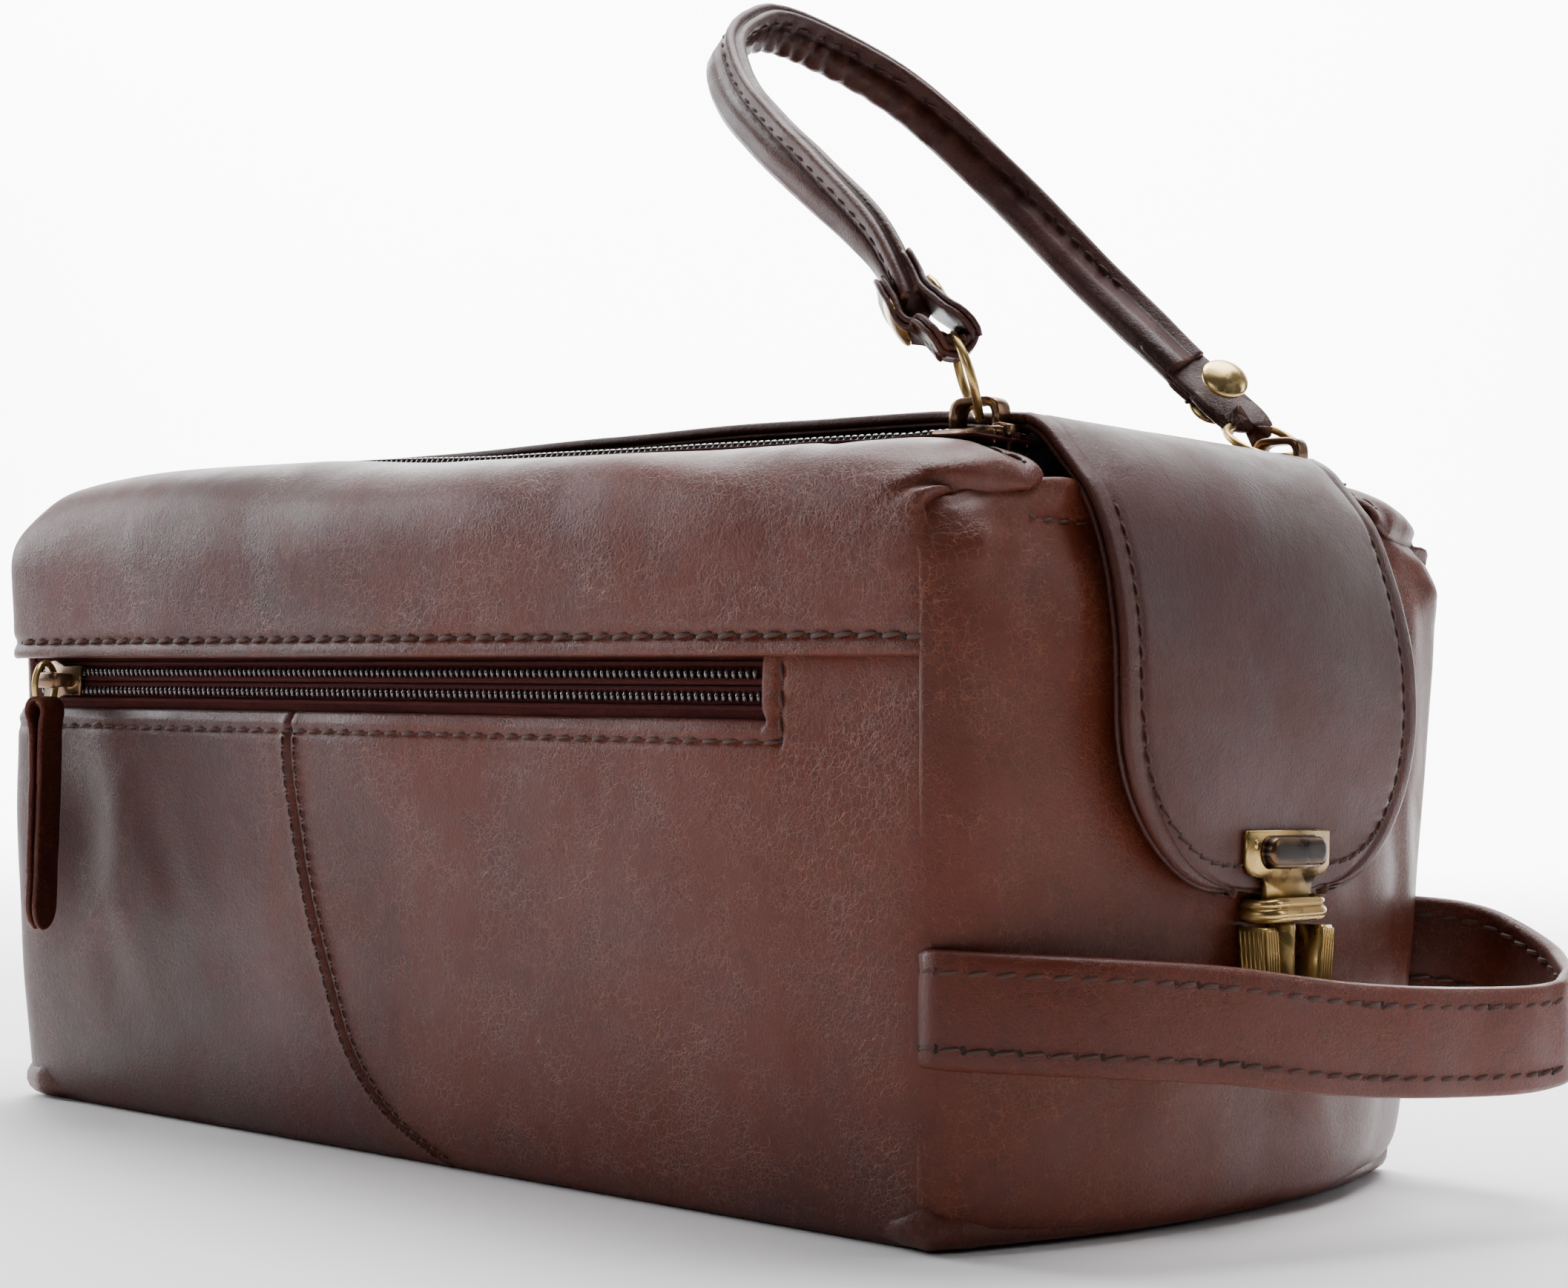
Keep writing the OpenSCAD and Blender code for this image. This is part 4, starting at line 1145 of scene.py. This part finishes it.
def make_rings():
    for side, label in ((-1, "front"), (1, "rear")):
        mesh = Mesh()
        wire_ring(mesh, ring_frame(side), RING_RADIUS, RING_WIRE)
        mesh.piece(f"{label}_ring_wire", ("brass",), f"{label}_ring", (f"{label}_ring",))


# ---- handle ----


def strap_frame(points, wide, u):
    last = len(points) - 1
    here = curve(points, u)
    ahead = unit(curve(points, min(u + 0.02, last)) - curve(points, max(u - 0.02, 0)))
    w = curve(wide, u)
    w = unit(w - ahead * np.dot(w, ahead))
    return here, ahead, w, np.cross(w, ahead)


def handle_section(u):
    """Points round the handle's cross-section: two layers sewn at one edge, rolled at the other."""
    roll = 1.0 + 0.25 * smooth((u - 5) / 3)
    outline = []
    half = HANDLE_WIDTH / 2
    for a in np.linspace(-90, 90, 5):
        outline.append((half - 1.2 + 1.2 * math.cos(math.radians(a)),
                        -1.25 + 1.15 * math.sin(math.radians(a))))
    outline.append((half - 0.6, 0.0))
    for a in np.linspace(-90, 90, 5):
        outline.append((half - 1.2 + 1.2 * math.cos(math.radians(a)),
                        1.25 + 1.15 * math.sin(math.radians(a))))
    outline += [(half - 2.9, 1.95), (half - 4.4, 2.1), (1.0, 2.3 * roll), (-2.0, 2.45 * roll)]
    for a in np.linspace(110, 250, 7):
        outline.append((-half + 2.3 + 2.5 * math.cos(math.radians(a)),
                        2.5 * roll * math.sin(math.radians(a))))
    outline += [(-2.0, -2.3 * roll), (1.0, -2.2), (half - 4.4, -2.1), (half - 2.9, -1.95)]
    return outline


def make_handle():
    mesh = Mesh()
    rings = 190
    points, faces = [], []
    last = len(HANDLE) - 1
    for i in range(rings + 1):
        u = last * i / rings
        here, ahead, w, n = strap_frame(HANDLE, HANDLE_WIDE, u)
        outline = handle_section(u)
        inner = 1 if u > 4.5 else 0.2
        for k, (a, b) in enumerate(outline):
            p = here + w * a + n * b
            crumple = 0.55 * math.sin(i * 1.35 + 2.6 * cloud(p[0], p[1], p[2], 6, 3)) * hill(u - 7.0, 2.0)
            crumple += 0.22 * math.sin(i * 0.8 + a * 0.6) * hill(u - 8.4, 1.2)
            crumple *= 1 if b < 0 and a < 3 else 0.15
            p += n * (crumple * inner + 0.2 * cloud(p[0], p[1], p[2], 9, 4))
            points.append(p)
    count = len(outline)
    for i in range(rings):
        for k in range(count):
            faces.append((i * count + k, i * count + (k + 1) % count,
                          (i + 1) * count + (k + 1) % count, (i + 1) * count + k))
    faces.append(tuple(range(count)))
    faces.append(tuple(rings * count + k for k in range(count)))
    tone = [0.35 + 0.3 * hill((i // count) / rings - 0.2, 0.15) for i in range(len(points))]
    mesh.add(points, faces, 0, tone)
    mesh.piece("handle_leather", ("handle",), "handle", ("handle_strap",))

    rows = []
    for face, gap in ((1, 1.95), (-1, 1.95)):
        path, normals = [], []
        for u in np.linspace(0.35, last - 0.8, 220):
            here, ahead, w, n = strap_frame(HANDLE, HANDLE_WIDE, u)
            path.append(here + w * (HANDLE_WIDTH / 2 - 2.9) + n * face * gap)
            normals.append(n * face)
        rows.append({"path": path, "normals": normals, "pitch": 4.4, "length": 3.0, "wide": 0.3})
    thread_piece("handle_thread", rows, "handle")


def handle_loop(side, first, second, wide, tail, name, node):
    """A strap end folded round its ring and back on itself, in two layers."""
    mesh = Mesh()
    to_row = ring_frame(side)
    far = np.array(to_row @ Vector((0, 0, 2 * RING_RADIUS)))
    axis = unit(np.array(to_row.to_3x3() @ Vector((0, 1, 0))))
    start = np.array(first, float)
    away = unit(np.array(second, float) - start)
    back = unit(start - far)
    back = unit(back - axis * np.dot(back, axis))
    up = np.cross(axis, back)
    face = np.cross(unit(wide), away)
    if np.dot(face, up) < 0:
        face = -face
    path = []
    lift = 1.6
    path.append(start + away * 9 + face * lift)
    path.append(start + away * 2 + face * lift)
    path.append(start * 0.5 + far * 0.5 + up * 1.45)
    for a in (80, 40, 0, -40, -80, -115):
        r = math.radians(a)
        bore = 1.6 + (0.5 if abs(a) < 60 else 0.1)
        path.append(far - back * bore * math.cos(r) * 1.15 + up * bore * math.sin(r) + back * 0.6)
    path.append(start * 0.5 + far * 0.5 - up * 1.45)
    path.append(start + away * (tail - 9) - face * (lift + 0.9))
    path.append(start + away * (tail - 4.5) - face * (lift + 1.3))
    path.append(start + away * tail - face * (lift + 1.1))
    steps = 72
    for inner, thick in ((0.0, 1.3), (1.35, 1.1)):
        sheet = []
        for i in range(steps + 1):
            u = (len(path) - 1) * i / steps
            here = curve(path, u)
            ahead = unit(curve(path, min(u + 0.05, len(path) - 1)) - curve(path, max(u - 0.05, 0)))
            share = smooth(abs(u - 5.5) / 3.5)
            across = unit(axis * (1 - share) * (1 if np.dot(axis, wide) > 0 else -1) + unit(wide) * share)
            across = unit(across - ahead * np.dot(across, ahead))
            n = np.cross(ahead, across)
            half = (HANDLE_WIDTH / 2 - 0.4) * (1 - 0.2 * hill(u - 5.5, 2.2))
            tip = 1 - 0.35 * smooth((u - len(path) + 1.9) / 0.9) ** 2
            for k in np.linspace(-1, 1, 9):
                crease = 0.18 * cloud(*(here + across * k * 6), 5, 2)
                sheet.append(here + across * half * k * tip + n * (crease - inner * 1.02
                                                                  - 0.25 * k * k))
        slab(mesh, sheet, grid_quads(steps + 1, 9), thick, 0, 0.4)
    return mesh.piece(name, ("handle",), "handle", (node,))


def make_handle_ends():
    handle_loop(-1, HANDLE[0], HANDLE[1], HANDLE_WIDE[0], 7.0, "handle_front_loop", "handle_front_end")
    handle_loop(1, HANDLE[-1], HANDLE[-2], HANDLE_WIDE[-1], 1.5, "handle_rear_loop", "handle_rear_end")
    caps = Mesh()
    for end, near, at in ((0, 1, (109.5, -54, 167.4)), (11, 10, (103.2, 55.8, 164.4))):
        at = np.array(at)
        ahead = unit(np.array(HANDLE[near], float) - np.array(HANDLE[end], float))
        wide = unit(np.array(HANDLE_WIDE[end]) - ahead * np.dot(HANDLE_WIDE[end], ahead))
        normal = np.cross(wide, ahead)
        for face in (-1, 1):
            profile = [(0.5, -1.2), (5.0, -0.4), (5.25, 0.0), (5.05, 0.45),
                       (4.2, 0.95), (2.8, 1.35), (1.2, 1.55), (0.2, 1.6)]
            disc(caps, at + normal * face * 4.3, normal * face, profile, 40)
    caps.piece("handle_rivet_caps", ("cap",), "handle", ("handle_rivets",))


# ---- strap across the end ----


def make_side_strap():
    mesh = Mesh()
    rings = 150
    last = len(STRAP) - 1
    half = STRAP_WIDTH / 2
    outline = []
    for a in np.linspace(-75, 75, 5):
        outline.append((half - 1.2 + 1.6 * math.cos(math.radians(a)) - 0.4, 1.5 * math.sin(math.radians(a))))
    outline += [(half - 2.8, 1.35), (half - 3.7, 1.15), (half - 4.8, 1.5), (4, 1.65), (0, 1.7), (-4, 1.65),
                (-half + 4.8, 1.5), (-half + 3.7, 1.15), (-half + 2.8, 1.35)]
    for a in np.linspace(105, 255, 5):
        outline.append((-half + 1.2 + 1.6 * math.cos(math.radians(a)) + 0.4, 1.5 * math.sin(math.radians(a))))
    outline += [(-half + 3.7, -1.3), (-4, -1.5), (0, -1.5), (4, -1.5), (half - 3.7, -1.3)]
    points, faces = [], []
    for i in range(rings + 1):
        u = last * i / rings
        here, ahead, w, n = strap_frame(STRAP, [(0, 0, 1)] * len(STRAP), u)
        for a, b in outline:
            p = here + w * a + n * b
            points.append(p + n * (0.35 * cloud(p[0], p[1], p[2], 17, 2.6)
                                   + 0.25 * math.sin(i * 0.55) * hill(u - 7, 1.0)))
    count = len(outline)
    for i in range(rings):
        for k in range(count):
            faces.append((i * count + k, i * count + (k + 1) % count,
                          (i + 1) * count + (k + 1) % count, (i + 1) * count + k))
    faces.append(tuple(range(count)))
    faces.append(tuple(rings * count + k for k in range(count)))
    tone = [0.5 + 0.3 * hill((i // count) / rings - 0.45, 0.2) for i in range(len(points))]
    mesh.add(points, faces, 0, tone)
    mesh.piece("side_strap_leather", ("chestnut",), "bag_body", ("side_strap",))
    rows = []
    for face in (1, -1):
        for edge in (1, -1):
            path, normals = [], []
            for u in np.linspace(0.15, last - 0.15, 200):
                here, ahead, w, n = strap_frame(STRAP, [(0, 0, 1)] * len(STRAP), u)
                path.append(here + w * edge * (half - 3.7) + n * face * 1.25)
                normals.append(n * face)
            rows.append({"path": path, "normals": normals, "pitch": 4.8, "length": 3.7, "wide": 0.42})
    thread_piece("side_strap_thread", rows, "bag_body")


# ---- clasp ----

CLASP_X = 155.45


def on_flap(x, y, z):
    return (CLASP_X + 0.75 + x, y, z)


def make_clasp():
    plate = Mesh()
    outline = [(-14.3, 73), (14.3, 73), (14.3, 66.6), (12.6, 64.8), (9.2, 64.2), (7.8, 62.6), (7.6, 58.3),
               (-7.6, 58.3), (-7.8, 62.6), (-9.2, 64.2), (-12.6, 64.8), (-14.3, 66.6)]
    extrude(plate, outline, 0.0, 1.3, lambda a, b, h: on_flap(h, a, b), chamfer=0.35)
    for y in (-11.4, 11.4):
        disc(plate, on_flap(1.25, y, 70.4), (1, 0, 0), ((1.1, 0), (1.0, 0.25), (0.5, 0.4)), 14)
    plate.piece("clasp_face_plate", ("brass",), "flap", ("clasp_plate",))
    boss = Mesh()
    rows = []
    for h, grow in ((0, 0.25), (0.5, 0.25), (0.9, 0.0), (1.9, 0.0), (2.4, -0.35), (2.65, -1.0), (2.7, -1.9)):
        row = []
        for k in range(40):
            a = 2 * math.pi * k / 40
            c, s = math.cos(a), math.sin(a)
            y = math.copysign(7, c) + (2.9 + grow) * c if abs(c) > 1e-6 else 0
            row.append(on_flap(1.25 + h, y, 69 + (2.9 + grow) * s))
        rows += row
    faces = [(i * 40 + k, i * 40 + (k + 1) % 40, (i + 1) * 40 + (k + 1) % 40, (i + 1) * 40 + k)
             for i in range(6) for k in range(40)]
    faces += [tuple(range(40)), tuple(240 + k for k in range(40))]
    boss.add(rows, faces)
    boss.piece("clasp_boss_cap", ("bronze",), "flap", ("clasp_boss",))

    collar = Mesh()
    path = []
    for k in range(56):
        a = 2 * math.pi * k / 56
        c, s = math.cos(a), math.sin(a)
        path.append((CLASP_X + 0.6 + 3.3 * s, math.copysign(6.2, c) + 4.1 * c, 58.2 + 0.35 * c))
    for low, size in ((1.4, 1.05), (-0.5, 1.5)):
        tube(collar, [(x, y, z + low) for x, y, z in path], size, 10, closed=True, up=(0, 0, 1))
    collar.piece("clasp_collar_band", ("brass",), "bag_body", ("clasp_collar",))

    base = Mesh()
    soft_block(base, (151.9, 0, 48.8), (1.5, 29, 29.5), 0.6)
    tube(base, [(156.05, 0, z) for z in (35, 35.6, 40, 48, 55, 55.9)], (1.9, 2.5, 2.5, 2.5, 2.5, 2.2), 20)
    soft_block(base, (153.9, 0, 45), (3.4, 2.6, 18), 0.5)
    for y in (-8.6, 8.6):
        tube(base, [(x, y, 40) for x in (152, 156, 160.6, 161.0, 161.2)], (0.9, 0.9, 0.9, 0.8, 0.5), 14)
    base.piece("clasp_base_plate", ("brass",), "bag_body", ("clasp_base",))
    rivets = Mesh()
    for y in (-12.2, 12.2):
        disc(rivets, (152.5, y, 59.6), (1, 0, 0), ((1.7, 0), (1.6, 0.3), (1.0, 0.6), (0.2, 0.7)), 18)
    rivets.piece("clasp_rivet_heads", ("bronze",), "bag_body", ("clasp_rivets",))
    for side, label in ((-1, "left"), (1, "right")):
        lever = Mesh()
        outline = [(6.4, 36.5), (10.8, 36.5), (10.6, 46), (12.2, 55.2), (7.6, 55.2), (6.6, 46)]
        extrude(lever, [(side * a, b) for a, b in outline], 153.8, 160.0,
                lambda a, b, h: (h, a, b), chamfer=0.7)
        for k in range(6):
            x = 154.6 + k * 0.95
            for a0, z0, a1, z1 in ((11.9, 54.6, 10.6, 46.4), (10.6, 46, 10.8, 37.2)):
                tube(lever, [(x, side * (a0 + 0.1), z0), (x, side * (a1 + 0.1), z1)], 0.36, 6)
        for k in range(5):
            y = 7.9 + 0.85 * k
            groove = [(160.0, side * (y + 0.3), 54.6), (160.05, side * (y - 0.5), 47),
                      (160.0, side * (y - 0.6), 37.4)]
            tube(lever, groove, 0.34, 6)
        lever.piece(f"{label}_lever_arm", ("brass",), f"{label}_lever", (f"{label}_lever",))


# ---- pocket slider, ring and tab ----

TAB_HINGE = np.array((-113.59, -90.65, 91.01))
TAB_TURN = math.radians(30)


def make_pocket_pull():
    mesh = Mesh()

    def place(a, b, h):
        return (-116 + a, -(side_y(97.3) + h), 97.3 + b)

    extrude(mesh, [(-a, b) for a, b in plate_outline(14, 9.4, 6.6)], -0.1, 1.1, place)
    extrude(mesh, [(-a, b) for a, b in plate_outline(13, 9.2, 6.6)], -4.6, -3.6, place)
    soft_block(mesh, place(-4.6, 0, -1.6), (2.4, 5.4, 1.2), 0.3)
    crown(mesh, lambda a, b, h: place(a, b, h), 0.6, 5.8, 4.3, 1.8, 1.2)
    mesh.piece("pocket_slider_body", ("bronze",), "pocket_slider", ("pocket_slider",))

    out = np.array((math.sin(TAB_TURN), -math.cos(TAB_TURN), 0))
    centre = TAB_HINGE + np.array((0, 0, 5.0))
    wire = Mesh()
    path = [centre + out * 5 * math.cos(a) + np.array((0, 0, 5 * math.sin(a)))
            for a in np.linspace(0, 2 * math.pi, 40, endpoint=False)]
    across = np.cross(out, (0, 0, 1))
    tube(wire, path, 0.75, 10, closed=True, up=across)
    wire.piece("pocket_ring_wire", ("brass",), "pocket_ring", ("pocket_ring",))

    tab = Mesh()
    wide = np.array((0.5, -0.866, 0))
    face = unit(np.cross(wide, (0, 0, 1)))
    path = [(-2.1, -17), (-2.2, -10), (-2.2, -4), (-2.6, -1), (-1.8, 1.7), (0, 2.6), (1.8, 1.7), (2.5, -1),
            (1.5, -5), (1.1, -12), (1.0, -25), (0.9, -38), (0.8, -49.4)]
    layers = [(path, 1.3), ([(-0.9, -5.4), (-1.0, -12), (-1.0, -25), (-0.9, -38), (-0.8, -49.6)], 1.3)]
    for line, thick in layers:
        steps = 60
        pts3 = [TAB_HINGE + face * a + np.array((0, 0, b)) for a, b in line]
        sheet = []
        for i in range(steps + 1):
            u = (len(pts3) - 1) * i / steps
            here = curve(pts3, u)
            drop = (TAB_HINGE[2] - here[2] - 44.5) / 5.2
            half = 4.6 * (math.sqrt(max(0.05, 1 - drop * drop)) if drop > 0 else 1.0)
            half += 0.15 * cloud(0, 0, here[2], 7, 3)
            for k in np.linspace(-1, 1, 7):
                sheet.append(here + wide * half * k + face * 0.12 * cloud(*(here + wide * 4 * k), 6, 5))
        slab(tab, sheet, grid_quads(steps + 1, 7), thick, 0, 0.55)
    tab.piece("pocket_tab_leather", ("chestnut",), "pocket_tab", ("pocket_tab",))
    rows = []
    for sign in (-1, 1):
        path, normals = [], []
        for z in np.linspace(-9, -46, 30):
            path.append(TAB_HINGE + face * 1.5 + wide * sign * 2.6 + np.array((0, 0, z)))
            normals.append(face)
        rows.append({"path": path, "normals": normals, "pitch": 3.6, "length": 2.5, "wide": 0.26})
    thread_piece("pocket_tab_thread", rows, "pocket_tab")


# ---- stitching on the body ----


# Distance of the panel stitches from the edge they hold
STITCH_INSET = 2.9


def make_body_stitches():
    rows = []
    rows.append({"path": [np.array(upper_point(x, STITCH_INSET, -1)) + (0, -0.1, 0)
                          for x in np.linspace(-134, 135.5, 240)],
                 "normals": [(0, -1, 0)] * 240, "pitch": 5.4, "length": 4.1, "wide": 0.5, "slant": 0.2})
    for side in (-1, 1):
        path, normals = [], []
        for x in np.linspace(-134, 133.5, 260):
            here = np.array(upper_point(x, SHOULDER_LENGTH - STITCH_INSET, side))
            path.append(here + (0, 0, 0.1))
            normals.append((0.3 * smooth((x - 125) / 10), side * 0.3, 1))
        rows.append({"path": path, "normals": normals, "pitch": 4.6, "length": 3.4, "wide": 0.36})
    path = [np.array(wall_point(x, POCKET_Z - 3.4, -1)) for x in np.linspace(-133, 104, 220)]
    rows.append({"path": path, "normals": [(0, -1, 0)] * len(path), "pitch": 4.9, "length": 3.6, "wide": 0.4})
    path = [np.array(wall_point(POCKET_END + 3.7, z, -1)) for z in np.linspace(POCKET_Z - 3, HEM_Z - 1, 20)]
    rows.append({"path": path, "normals": [(0, -1, 0)] * len(path), "pitch": 4.6, "length": 3.4, "wide": 0.4})
    for gap in (-1.9, 1.9):
        path = [np.array(wall_point(curved_seam_x(z) + gap, z, -1, curved_seam_x(z)))
                for z in np.linspace(1.5, POCKET_Z - 4, 120)]
        rows.append({"path": path, "normals": [(0, -1, 0)] * 120, "pitch": 3.0, "length": 2.1, "wide": 0.22})
    for side in (-1, 1):
        us = [side * (62 / 86)] * 8
        path = [np.array(end_point(u, v)) for u, v in zip(us, np.linspace(0.994, 0.955, 8))]
        path += [np.array(end_point(side * y / 86, (127.4 - END_LOW) / (end_top(y) - END_LOW)))
                 for y in np.linspace(62, 46, 14)]
        rows.append({"path": path, "normals": [(1, side * 0.3, 0)] * len(path), "pitch": 3.9, "length": 2.8,
                     "wide": 0.32})
    thread_piece("body_thread", rows, "bag_body")


# ---- studio ----


def make_studio():
    """A pale sweep, a dim white world and soft lights."""
    floor, back, high, bend = 5000.0, 2600.0, 4200.0, 900.0
    az = math.radians(41.88)
    away = np.array((-math.sin(az), math.cos(az)))
    along = np.array((math.cos(az), math.sin(az)))
    profile = [(-floor, 0), (-400, 0), (back - bend, 0)]
    profile += [(back - bend + bend * math.sin(a), bend - bend * math.cos(a))
                for a in np.linspace(0.1, 1.57, 14)]
    profile += [(back, high)]
    points = [(*(away * d + along * w), h - 0.02) for d, h in profile for w in (-5000, 0, 5000)]
    mesh = bpy.data.meshes.new("studio_sweep")
    mesh.from_pydata([(x * MM, y * MM, z * MM) for x, y, z in points], [],
                     grid_quads(len(profile), 3))
    mesh.polygons.foreach_set("use_smooth", [True] * len(mesh.polygons))
    n = Nodes("studio_paper")
    n.finish((0.93, 0.93, 0.935, 1.0), 0.7)
    mesh.materials.append(n.material)
    obj = bpy.data.objects.new("studio_sweep", mesh)
    bpy.context.scene.collection.objects.link(obj)

    world = bpy.data.worlds.new("studio_air")
    bpy.context.scene.world = world
    world.use_nodes = True
    world.node_tree.nodes["Background"].inputs[0].default_value = (1.0, 1.0, 1.0, 1.0)
    world.node_tree.nodes["Background"].inputs[1].default_value = 0.04

    def softbox(name, at, aim, size, power, tint=(1, 1, 1)):
        light = bpy.data.lights.new(name, "AREA")
        light.shape, light.size, light.size_y = "RECTANGLE", size[0], size[1]
        light.energy, light.color = power, tint
        lamp = bpy.data.objects.new(name, light)
        lamp.location = at
        lamp.rotation_mode = "QUATERNION"
        lamp.rotation_quaternion = (Vector(aim) - Vector(at)).to_track_quat("-Z", "Y")
        bpy.context.scene.collection.objects.link(lamp)

    softbox("key_overhead", (-0.1, 0.3, 1.1), (0, 0, 0.1), (1.1, 0.6), 25, (1.0, 0.95, 0.985))
    softbox("fill_left", (-1.35, -0.35, 0.6), (-0.08, -0.05, 0.1), (0.4, 0.8), 17, (0.97, 0.96, 1.0))
    softbox("fill_right", (1.2, 0.95, 0.7), (0.12, 0, 0.08), (0.4, 0.8), 4.5, (0.97, 0.96, 1.0))
    softbox("fill_front", (0.55, -1.4, 0.9), (0.05, 0, 0.08), (0.7, 0.5), 3.0)
    softbox("wash_left", (-1.5, 0.6, 1.3), (-1.6, 2.0, 0.3), (1.6, 0.6), 170)
    softbox("wash_right", (-0.2, 1.6, 1.3), (-1.0, 2.6, 0.3), (1.6, 0.6), 170)
    softbox("wash_floor", (-0.4, 0.5, 2.3), (-0.3, 0.3, 0), (2.4, 2.4), 46)


def make_camera():
    azimuth, elevation, roll = (math.radians(a) for a in (41.88, -1.89, 1.33))
    back = Vector((math.sin(azimuth) * math.cos(elevation), -math.cos(azimuth) * math.cos(elevation),
                   math.sin(elevation)))
    right = Vector((math.cos(azimuth), math.sin(azimuth), 0))
    up = back.cross(right)
    rolled_right = right * math.cos(roll) + up * math.sin(roll)
    rolled_up = up * math.cos(roll) - right * math.sin(roll)
    data = bpy.data.cameras.new("camera")
    data.lens, data.sensor_width = 64.97, 36.0
    data.clip_start, data.clip_end = 0.01, 50
    camera = bpy.data.objects.new("camera", data)
    turn = Matrix((rolled_right, rolled_up, back)).transposed()
    camera.matrix_world = Matrix.Translation((0.4392, -0.4567, 0.0881)) @ turn.to_4x4()
    bpy.context.scene.collection.objects.link(camera)
    bpy.context.scene.camera = camera


def finish_cad_nodes():
    """Materials for the CAD pieces that show as they are."""
    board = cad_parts["base_board"]
    board.data.materials.clear()
    board.data.materials.append(M["board"])


make_camera()
make_studio()
make_upper(-1, "front_upper_leather", ("front_upper_panel",))
make_front_left()
make_front_right()
make_rear()
make_end(1, "clasp_end_leather", ("clasp_end_panel",))
make_end(-1, "plain_end_leather", ("plain_end_panel",))
make_base()
make_base_fold()
make_binding()
make_linings()
make_lid_and_flap()
flap_stitches()
make_lid_zips()
make_pocket_zip()
make_slider(-1, "front")
make_slider(1, "rear")
make_rings()
make_handle()
make_handle_ends()
make_side_strap()
make_clasp()
make_pocket_pull()
make_body_stitches()
finish_cad_nodes()
